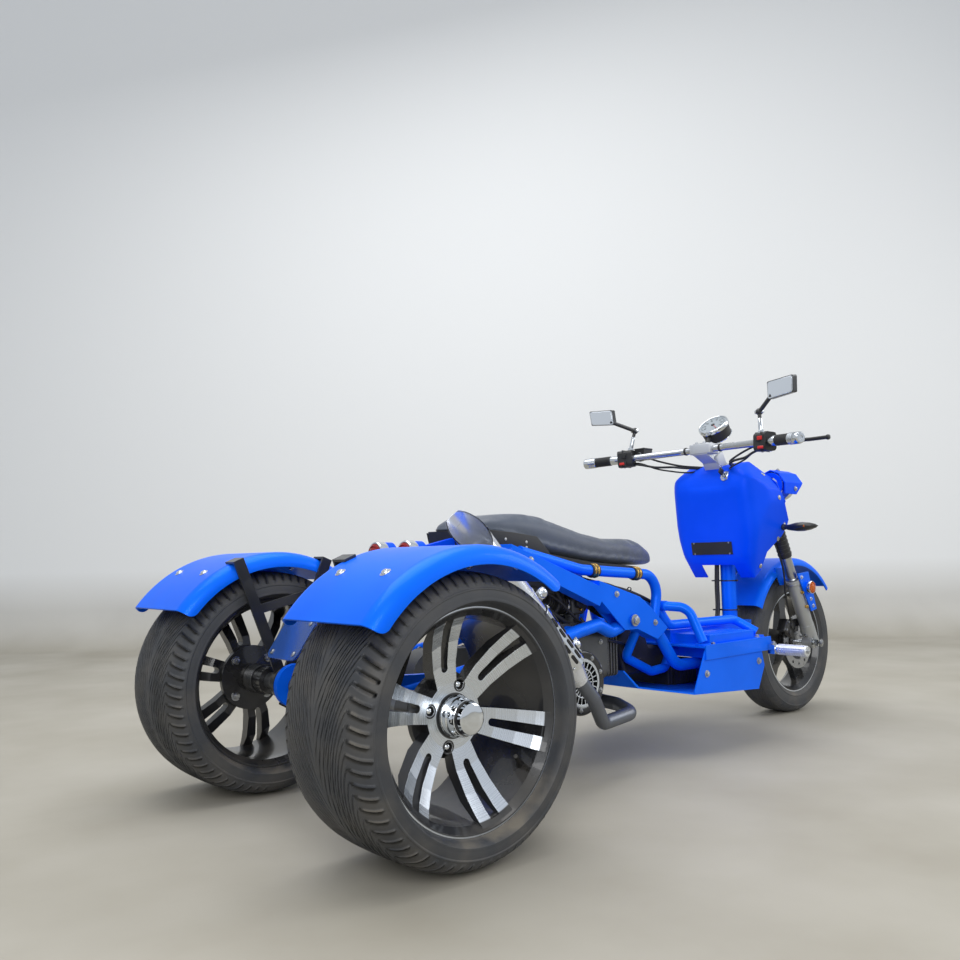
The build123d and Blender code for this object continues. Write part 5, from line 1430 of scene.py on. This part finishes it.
# Engine, exhaust and what hangs round them


can = {"low": rearPoint(0.517, -0.24, 0.25), "high": rearPoint(0.16, -0.24, 0.622), "radius": 0.036, "wall": 0.0025}
can["long"] = (can["high"] - can["low"]).length
can["along"] = (can["high"] - can["low"]).normalized()


def silencerCan():
    # Tapered foot, long can with beads, and a mouth cut on the slant
    low, along, long, wide = can["low"], can["along"], can["long"], can["radius"]
    outline = [(0.0175, -0.0003), (0.0205, 0.002), (0.0215, 0.006), (0.0235, 0.016), (0.0315, 0.044),
        (wide - 0.002, 0.052), (wide, 0.056)]
    for bead in (0.075, 0.27, long - 0.06):
        outline += [(wide, bead), (wide + 0.0012, bead + 0.0015), (wide + 0.0012, bead + 0.0045),
            (wide, bead + 0.006)]
    outline += [(wide, long), (wide - can["wall"], long), (wide - can["wall"], long - 0.125), (0.006, long - 0.13)]
    mesh = bmesh.new()
    turned(mesh, low, along, outline, 56)
    facing = Vector((-0.5, -0.72, 0.3)).normalized()
    cut = bmesh.ops.bisect_plane(mesh, geom=mesh.verts[:] + mesh.edges[:] + mesh.faces[:],
        plane_co=rearPoint(0.185, -0.24, 0.59), plane_no=facing, clear_outer=True)["geom_cut"]
    rims = [e for e in cut if isinstance(e, bmesh.types.BMEdge)]
    bmesh.ops.bridge_loops(mesh, edges=rims)
    piece = keep("silencerCan", mesh, "frame", "satinChrome", 35)
    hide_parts("silencer")
    mesh = bmesh.new()
    deep = low + along * (long - 0.126)
    turned(mesh, deep, along, [(wide - 0.003, 0), (0.02, 0.004), (0.0165, 0.03), (0.0145, 0.03), (0.014, -0.004)], 40)
    keep("silencerBore", mesh, "frame", "satinChrome", 40)


def silencerHanger(nuts):
    # The solid's flat lug and boss, and two tabs with domed nuts
    low, along = can["low"], can["along"]
    hanger = bmesh.new()
    lug = [(0.495, 0.345), (0.525, 0.345), (0.53, 0.262), (0.48, 0.3)]
    plate(hanger, [rearPoint(x, -0.209, z) for x, z in lug], (0, 0.005, 0), 0.0012)
    rod(hanger, rearPoint(0.509, -0.2175, 0.335), rearPoint(0.509, -0.1795, 0.335), 0.009, segments=28,
        rounding=0.001)
    for x, z in ((0.392, 0.458), (0.497, 0.336)):
        spot = rearPoint(x, -0.252, z)
        foot = low + along * (spot - low).dot(along)
        side = (spot - foot).normalized()
        tab = [foot + side * 0.02 + along * 0.016, foot + side * 0.062 + along * 0.011,
            foot + side * 0.062 - along * 0.011, foot + side * 0.02 - along * 0.016]
        plate(hanger, [Vector((p.x, -0.246, p.z)) for p in tab], (0, 0.004, 0), 0.001)
        turned(nuts, Vector((spot.x, -0.2462, spot.z)), (0, -1, 0),
            [(0.0135, -0.001), (0.0135, 0.0012), (0.011, 0.0016), (0.0106, 0.0055), (0.0085, 0.009), (0.0045, 0.0112),
                (0, 0.0118)], 28)
        turned(nuts, Vector((spot.x, -0.2418, spot.z)), (0, 1, 0), [(0.0085, 0), (0.0085, 0.006), (0, 0.0062)], 6)
    keep("silencerHanger", hanger, "frame", "greySteel", 30)


def silencerShield(nuts):
    # A curved heat shield with four rivets; its long holes are thin dark slabs of painted shade
    low, along = can["low"], can["along"]
    shield = {"start": 0.058, "reach": 0.16, "radius": 0.0405, "turn": 104, "slots": 4}
    middle = Vector((0, -1, 0)) + Vector((along.z, 0, -along.x)) * 0.35
    outward = (middle - along * middle.dot(along)).normalized()
    basis = Matrix((outward, along.cross(outward), along)).transposed()
    mesh, slots = bmesh.new(), bmesh.new()
    chain = [mesh.verts.new((shield["radius"], 0, shield["start"] + shield["reach"] * step / 6)) for step in range(7)]
    edges = [mesh.edges.new(pair) for pair in zip(chain, chain[1:])]
    angle = math.radians(shield["turn"])
    bmesh.ops.rotate(mesh, verts=chain, cent=(0, 0, 0), matrix=Matrix.Rotation(-angle / 2, 3, "Z"))
    bmesh.ops.spin(mesh, geom=chain + edges, cent=(0, 0, 0), axis=(0, 0, 1), angle=angle, steps=18, use_merge=False)
    bmesh.ops.recalc_face_normals(mesh, faces=mesh.faces)
    bmesh.ops.solidify(mesh, geom=list(mesh.faces), thickness=0.0014)
    bmesh.ops.transform(mesh, matrix=Matrix.Translation(low) @ basis.to_4x4(), verts=mesh.verts)
    keep("silencerShield", mesh, "frame", "chrome", 35)
    # Each long hole is a dark slab laid on the shield: painted shade, nothing is seen through it
    for row in range(shield["slots"]):
        for across in (-24, 0, 24):
            turn = Matrix.Rotation(math.radians(across), 4, "Z")
            place = Matrix.Translation(low) @ basis.to_4x4() @ turn @ Matrix.Translation((shield["radius"] + 0.0006,
                0, shield["start"] + 0.026 + 0.034 * row))
            made = slab(slots, (0, 0, 0), (0.0014, 0.0078, 0.026), rounding=0.0)
            tips = {e for v in made for e in v.link_edges if abs((e.verts[0].co - e.verts[1].co).x) > 0.001}
            made = soften(slots, tips, 0.0037, 4)
            bmesh.ops.transform(slots, matrix=place, verts=joined(made))
    keep("silencerShieldSlotShade", slots, "frame", "paintedSlotShade", 35)
    for end in (0.066, 0.211):
        for across in (-44, 44):
            out = (basis @ Matrix.Rotation(math.radians(across), 3, "Z") @ Vector((1, 0, 0))).normalized()
            turned(nuts, low + along * end + out * (shield["radius"] + 0.0007), out,
                [(0.0045, 0), (0.0042, 0.0015), (0, 0.0024)], 18)


silencerCan()
silencerNuts = bmesh.new()
silencerHanger(silencerNuts)
silencerShield(silencerNuts)
keep("silencerNuts", silencerNuts, "frame", "chrome", 30)
print("silencer done")


engineAt = {
    "fan": rearPoint(0.596, -0.15, 0.232), "carburettor": rearPoint(0.655, -0.088, 0.412),
    "coil": rearPoint(0.735, -0.112, 0.398),
    "plugCap": rearPoint(0.806, -0.075, 0.327), "starter": rearPoint(0.548, -0.096, 0.352),
}


def fanBolts(bright):
    fanHub = engineAt["fan"]
    for count in range(9):
        angle = math.tau * (count + 0.5) / 9
        spot = fanHub + Vector((math.cos(angle) * 0.0655, -0.0262, math.sin(angle) * 0.0655))
        bolt(bright, spot, (0, -1, 0), 0.0038, 0.003)
    turned(bright, fanHub + Vector((0, -0.026, 0)), (0, -1, 0),
        [(0.0152, -0.006), (0.0152, 0.0), (0.0125, 0.0015), (0.0105, 0.0015), (0.0105, -0.001), (0, -0.001)], 32)


def carburettor(dark, alloy, bright, brass):
    # Bowl, throttle top, choke, drain screw, and the ribbed mouth
    carb = engineAt["carburettor"]
    slab(alloy, carb, (0.046, 0.05, 0.04), rounding=0.006, segments=3)
    turned(alloy, carb + Vector((0, 0, -0.018)), (0, 0, -1), [(0.0195, 0), (0.0205, 0.004), (0.0205, 0.007),
        (0.0185, 0.0085), (0.0178, 0.026), (0.015, 0.03), (0, 0.031)], 32)
    turned(dark, carb + Vector((0, 0, 0.019)), (0, 0, 1), [(0.0205, 0), (0.0208, 0.004), (0.0185, 0.0065),
        (0.018, 0.02), (0.0155, 0.0235), (0.006, 0.0245), (0.0055, 0.034), (0, 0.034)], 32)
    turned(brass, carb + Vector((0, 0, -0.0485)), (0, 0, -1),
        [(0.0048, 0), (0.0048, 0.0045), (0.003, 0.006), (0, 0.0062)], 6)
    turned(brass, carb + Vector((0.004, -0.0245, -0.008)), (0, -1, 0),
        [(0.0042, 0), (0.0042, 0.008), (0.0028, 0.009), (0, 0.0092)], 14)
    turned(dark, carb + Vector((-0.004, -0.0245, 0.008)), (0, -1, 0),
        [(0.0115, 0), (0.0118, 0.01), (0.0095, 0.0125), (0, 0.013)], 24)
    turned(alloy, carb + Vector((0.022, 0, 0)), (1, 0, 0), [(0.0185, 0), (0.0185, 0.006), (0.0155, 0.0065),
        (0.0155, 0.02)], 28)
    mouth = carb + Vector((-0.0225, 0, 0))
    outline = [(0.0185, 0)]
    for rib in range(8):
        foot = 0.002 + 0.0072 * rib
        outline += [(0.0225, foot + 0.001), (0.0225, foot + 0.0036), (0.0195, foot + 0.0048), (0.0195, foot + 0.0066)]
    outline += [(0.0225, 0.061), (0.02, 0.063), (0, 0.063)]
    turned(dark, mouth, (-0.94, 0.22, 0.26), outline, 32)
    turned(bright, mouth + Vector((0.001, 0, 0)), (-0.94, 0.22, 0.26),
        [(0.0226, 0.002), (0.0234, 0.0022), (0.0234, 0.0072), (0.0226, 0.0074)], 32)


def coilAndPlug(dark, alloy, bright):
    coil, cap = engineAt["coil"], engineAt["plugCap"]
    slab(dark, coil, (0.05, 0.024, 0.026), Matrix.Rotation(math.radians(24), 4, "Y"), 0.004, 3)
    slab(alloy, coil + Vector((0, 0.013, 0)), (0.066, 0.003, 0.018), Matrix.Rotation(math.radians(24), 4, "Y"), 0.001)
    turned(dark, cap, (0.75, -0.1, 0.65), [(0.0085, -0.012), (0.0095, -0.01), (0.0095, 0.012), (0.0075, 0.018),
        (0.005, 0.021), (0.0045, 0.034), (0, 0.0345)], 24)
    turned(bright, cap, (0.75, -0.1, 0.65), [(0.0098, -0.022), (0.0098, -0.014), (0.0072, -0.013), (0.0072, -0.009)],
        6)


def starterBands(dark, bright):
    starter = engineAt["starter"]
    for shift in (0.004, 0.07):
        turned(dark, starter + Vector((0, shift, 0)), (0, 1, 0),
            [(0.0251, 0), (0.0262, 0.0008), (0.0262, 0.0062), (0.0251, 0.007)], 36)
    turned(bright, starter, (0, -1, 0), [(0.0185, 0), (0.018, 0.003), (0.009, 0.0045), (0.0085, 0.008), (0, 0.0082)],
        28)
    bolt(bright, starter + Vector((0, -0.0005, 0.0)), (0, -1, 0), 0.004, 0.0095)


def caseBolts(dark, alloy, bright):
    # Oil filler, the bolts of both side covers, and bosses with cooling ribs on the left one
    turned(dark, rearPoint(0.662, -0.1195, 0.23), (0, -1, 0),
        [(0.0155, 0), (0.0155, 0.004), (0.0125, 0.006), (0.012, 0.011), (0.008, 0.012), (0, 0.012)], 12)
    for x, z in ((0.562, 0.355), (0.625, 0.36), (0.684, 0.352), (0.7, 0.322), (0.693, 0.26), (0.682, 0.212),
            (0.568, 0.186), (0.545, 0.29)):
        spot, facing = onNode("engine", rearPoint(x, -0.5, z), (0, 1, 0))
        bolt(bright, spot, facing, 0.0042, 0.0035)
    for x, z in ((0.33, 0.315), (0.4, 0.312), (0.47, 0.309), (0.54, 0.31), (0.6, 0.302), (0.655, 0.262),
            (0.652, 0.202), (0.6, 0.172), (0.53, 0.173), (0.45, 0.178), (0.37, 0.188), (0.3, 0.2), (0.272, 0.25),
            (0.29, 0.3)):
        spot, facing = onNode("engine", rearPoint(x, 0.5, z), (0, -1, 0))
        bolt(bright, spot, facing, 0.0042, 0.0035)
    for x, z in ((0.35, 0.262), (0.575, 0.244)):
        spot, facing = onNode("engine", rearPoint(x, 0.5, z), (0, -1, 0))
        turned(bright, spot, facing, [(0.0165, 0), (0.0165, 0.002), (0.013, 0.0034), (0.012, 0.0028), (0, 0.0028)],
            32)
        for count in range(10):
            angle = math.tau * count / 10
            out = around(angle)
            slab(alloy, spot + out * 0.0295 + facing * 0.0008, (0.021, 0.0026, 0.0034),
                Matrix.Rotation(-angle, 4, "Y"), 0.0008)
    for y in (-0.068, -0.012):
        bolt(bright, rearPoint(0.741, y, 0.2185), (0, 0, -1), 0.005, 0.006)
    slab(alloy, rearPoint(0.738, -0.04, 0.2165), (0.03, 0.068, 0.0055), rounding=0.0015)


def hosePoint(*place):
    # A place by rearPoint's measures, or a fitting's name and the steps from there
    return rearPoint(*place) if len(place) == 3 else engineAt[place[0]] + Vector(place[1:])


def engineHoses():
    # Plug lead, fuel and vacuum lines, wires and breather, each from one fitting to the next
    runs = [
        (0.0042, [("coil", 0.02, -0.004, -0.012), ("coil", 0.035, -0.008, -0.02), (0.79, -0.118, 0.378),
            (0.832, -0.106, 0.374), ("plugCap", 0.03, -0.006, 0.026), ("plugCap", 0.02, -0.003, 0.018)]),
        (0.0036, [("carburettor", 0.012, -0.02, -0.03), ("carburettor", 0.014, -0.035, -0.05), (0.69, -0.13, 0.34),
            (0.74, -0.138, 0.318), (0.82, -0.12, 0.31), (0.875, -0.084, 0.29)]),
        (0.003, [("carburettor", 0.0, 0, 0.05), ("carburettor", 0.0, 0.004, 0.068),
            ("carburettor", 0.03, 0.02, 0.082), (0.76, -0.06, 0.472), (0.86, -0.06, 0.462), (0.952, -0.07, 0.405),
            (0.99, -0.075, 0.345), (1.02, -0.08, 0.322)]),
        (0.0052, [("starter", 0.016, 0.03, 0.02), (0.58, -0.1, 0.39), (0.6, -0.116, 0.43), (0.56, -0.108, 0.462),
            (0.62, -0.1, 0.478), (0.74, -0.104, 0.464), (0.86, -0.11, 0.448), (0.95, -0.112, 0.41)]),
        (0.0034, [(0.5, -0.1, 0.47), (0.53, -0.118, 0.455), (0.575, -0.128, 0.43), (0.61, -0.13, 0.392),
            (0.66, -0.131, 0.362), (0.7, -0.128, 0.33), (0.71, -0.12, 0.3)]),
        (0.0058, [(0.48, -0.08, 0.45), (0.52, -0.1, 0.44), (0.545, -0.112, 0.41), (0.6, -0.12, 0.372),
            (0.65, -0.108, 0.36)]),
        (0.0028, [("carburettor", -0.01, -0.02, -0.02), ("carburettor", -0.03, -0.036, -0.05), (0.64, -0.135, 0.33),
            (0.66, -0.136, 0.3), (0.7, -0.13, 0.27), (0.72, -0.118, 0.24)]),
        (0.0032, [(0.7, -0.09, 0.445), (0.715, -0.105, 0.43), (0.73, -0.118, 0.41), (0.735, -0.112, 0.4)]),
    ]
    hose("engineHoses", [(radius, [hosePoint(*place) for place in line]) for radius, line in runs], "frame")
    ties = bmesh.new()
    for place, direction in ((rearPoint(0.62, -0.1, 0.4775), (1, 0, 0)),
            (rearPoint(0.74, -0.104, 0.464), (1, 0, -0.1)), (rearPoint(0.86, -0.11, 0.448), (1, 0, -0.2))):
        turned(ties, place, direction, [(0.0054, -0.0018), (0.0066, -0.0018), (0.0066, 0.0018), (0.0054, 0.0018)], 20)
    keep("engineTies", ties, "frame", "blackPlastic", 30)


dark, alloy, bright, brass = (bmesh.new() for _ in range(4))
fanBolts(bright)
carburettor(dark, alloy, bright, brass)
coilAndPlug(dark, alloy, bright)
starterBands(dark, bright)
caseBolts(dark, alloy, bright)
keep("engineDark", dark, "frame", "blackPlastic", 32)
keep("engineCastings", alloy, "frame", "engineAlloy", 32)
keep("engineBolts", bright, "frame", "zincBolt", 30)
keep("engineBrass", brass, "frame", "brass", 30)
engineHoses()


def hubBacks():
    # Bolts on the inner faces of the rear hubs, and the rubber seals round the axle
    back = {"bolts": 4, "circle": 0.058, "face": 0.0118, "ribs": 5, "pitch": 0.008, "start": -0.012, "wide": 0.0352}
    for side, turn in sides.items():
        hub = wheelHub(turn)
        out = Vector((0, turn, 0))
        mesh, rubber = bmesh.new(), bmesh.new()
        for count in range(back["bolts"]):
            angle = math.tau * (count + 0.5) / back["bolts"]
            spot = hub + around(angle) * back["circle"] + out * back["face"]
            bolt(mesh, spot, -out, 0.0078, 0.006)
        outline = [(0.0322, back["start"])]
        for rib in range(back["ribs"]):
            foot = back["start"] - back["pitch"] * rib
            outline += [(back["wide"], foot - 0.001), (back["wide"], foot - 0.0045), (0.0325, foot - 0.0058)]
        turned(rubber, hub, out, outline[::-1], 40)
        keep(f"{side}HubBolts", mesh, f"{side}_rear_wheel", "zincBolt", 30)
        keep(f"{side}HubRibs", rubber, f"{side}_rear_wheel", "blackPaint", 40)


hubBacks()


def frontSignals():
    # Leaf-shaped direction lamps on slim stalks, in the place of the solids
    leaf = {"root": 0.153, "stalk": 0.171}
    for side, turn in sides.items():
        foot = frontPoint(-0.214, turn * leaf["root"], 0.622)
        mesh, lens = bmesh.new(), bmesh.new()
        turned(mesh, foot, (0, turn, 0), [(0.0105, 0), (0.0105, 0.003), (0.0085, 0.006), (0.0078, 0.012),
            (0.0078, 0.02)], 20)
        made = turned(mesh, (0, 0, 0), (0, 0, 1), [(0, -0.0008), (0.0075, 0.0), (0.0104, 0.012), (0.0138, 0.032),
            (0.0142, 0.05), (0.0115, 0.072), (0.006, 0.09), (0, 0.0985)], 28)
        sweep = turnTo(foot + Vector((0.004, turn * (leaf["stalk"] - leaf["root"] - 0.004), -0.002)),
            (-0.14 + 0.26, turn, 0.03))
        bmesh.ops.scale(mesh, vec=(1, 1.9, 1), verts=made)
        bmesh.ops.transform(mesh, matrix=sweep @ Matrix.Rotation(math.radians(90), 4, "Z"), verts=made)
        piece = keep(f"{side}SignalBody", mesh, "frame", "blackPaint", 50)
        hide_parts(f"{side}_front_signal")
        low, high = piece.bound_box[0], piece.bound_box[6]
        middle = (Vector(low) + Vector(high)) / 2
        spot = middle + Vector((-0.021, turn * 0.008, 0.001))
        made = turned(lens, (0, 0, 0), (0, 0, 1), [(0.0, 0.0), (0.0052, 0.004), (0.0064, 0.02), (0.0052, 0.036),
            (0, 0.042)], 20)
        bmesh.ops.transform(lens, matrix=turnTo(spot - Vector((0, turn * 0.021, 0)), (0.12, turn, 0.03)), verts=made)
        keep(f"{side}SignalLens", lens, "frame", "amberLens", 50)


frontSignals()


def batteryBox():
    # Black battery box strapped down on the pan behind the skirts
    case = {"x": 1.128, "length": 0.136, "half": 0.078, "height": 0.062}
    floor = onNode("belly_pan", rearPoint(case["x"], 0, 0.27), (0, 0, -1))[0].z
    mesh, metal = bmesh.new(), bmesh.new()
    slab(mesh, rearPoint(case["x"], 0, floor + case["height"] / 2),
        (case["length"], 2 * case["half"], case["height"]), rounding=0.005, segments=3)
    slab(mesh, rearPoint(case["x"], 0, floor + case["height"] + 0.0035),
        (case["length"] - 0.004, 2 * case["half"] - 0.004, 0.008), rounding=0.003, segments=3)
    for rib in range(7):
        for turn in sides.values():
            slab(mesh, rearPoint(case["x"] - 0.054 + 0.018 * rib, turn * case["half"], floor + 0.028),
                (0.006, 0.0032, 0.046), rounding=0.001)
    for x in (-0.04, 0.04):
        slab(mesh, rearPoint(case["x"] + x, 0, floor + case["height"] + 0.0085),
            (0.014, 2 * case["half"] + 0.004, 0.0024), rounding=0.0008)
        for turn in sides.values():
            slab(mesh, rearPoint(case["x"] + x, turn * (case["half"] + 0.0022), floor + 0.036), (0.014, 0.0024, 0.07),
                rounding=0.0008)
            bolt(metal, rearPoint(case["x"] + x, turn * (case["half"] + 0.003), floor + 0.052), (0, turn, 0), 0.0034,
                0.0028)
    keep("batteryCase", mesh, "frame", "blackPlastic", 32)
    keep("batteryBolts", metal, "frame", "zincBolt", 30)


batteryBox()


def seatTail():
    # Dark side panels under the raised back of the seat, with rivets
    panel, rivets = bmesh.new(), bmesh.new()
    for turn in sides.values():
        corners = [(0.35, 0.604), (0.43, 0.598), (0.505, 0.589), (0.545, 0.552), (0.55, 0.541), (0.43, 0.552),
            (0.36, 0.566)]
        plate(panel, [rearPoint(x, turn * 0.1208, z) for x, z in corners], (0, -turn * 0.004, 0), 0.001)
        for x, z in ((0.468, 0.575), (0.468, 0.562), (0.4, 0.582)):
            turned(rivets, rearPoint(x, turn * 0.1207, z), (0, turn, 0), [(0.0038, 0), (0.0035, 0.0012), (0, 0.002)],
                16)
    keep("seatSidePanels", panel, "frame", "blackPlastic", 30)
    keep("seatRivets", rivets, "frame", "zincBolt", 30)


seatTail()
print("engine details done")


def stageSet():
    wall = {"height": 5.0, "halfWidth": 9.0, "cove": 0.25, "ahead": 5.55, "behind": 7}
    yaw = math.radians(48.95)
    mesh = bmesh.new()
    ahead = Vector((math.cos(yaw), math.sin(yaw), 0))
    across = Vector((math.sin(yaw), -math.cos(yaw), 0)) * wall["halfWidth"]
    near = rearPoint(0, 0, 0) - ahead * wall["behind"]
    edge = mesh.edges.new((mesh.verts.new(near - across), mesh.verts.new(near + across)))
    reach = ahead * (wall["ahead"] + wall["behind"] - 1.9)
    steps = [reach]
    for step in range(8):
        angle = math.pi / 2 * (step + 0.5) / 8
        steps.append((ahead * math.cos(angle) + Vector((0, 0, math.sin(angle)))) * wall["cove"] * math.pi / 16)
    steps.append(Vector((0, 0, wall["height"])))
    for move in steps:
        made = bmesh.ops.extrude_edge_only(mesh, edges=[edge])["geom"]
        bmesh.ops.translate(mesh, verts=vertsIn(made), vec=move)
        edge = [e for e in made if isinstance(e, bmesh.types.BMEdge) and all(v in made for v in e.verts)][0]
    bmesh.ops.recalc_face_normals(mesh, faces=mesh.faces)
    data = bpy.data.meshes.new("stageFloor")
    mesh.to_mesh(data)
    mesh.free()
    floor = bpy.data.objects.new("stageFloor", data)
    scene.collection.objects.link(floor)
    for face in data.polygons:
        face.use_smooth = True
    paper = bpy.data.materials.new("stagePaper")
    paper.use_nodes = True
    tree = paper.node_tree
    shader = tree.nodes["Principled BSDF"]
    height = tree.nodes.new("ShaderNodeSeparateXYZ")
    tree.links.new(tree.nodes.new("ShaderNodeTexCoord").outputs["Object"], height.inputs[0])
    patches = spanOf(tree, noiseOf(tree, 2.2, 10.0), 0.3, 0.7)
    ground = mixTint(tree, patches, tint(156, 150, 136), tint(172, 167, 155))
    tree.links.new(mixTint(tree, spanOf(tree, height.outputs["Z"], 0.0, 0.5), ground, tint(226, 227, 227)),
        shader.inputs["Base Color"])
    shader.inputs["Roughness"].default_value = 0.6
    data.materials.append(paper)


stageSet()
print("stage set")
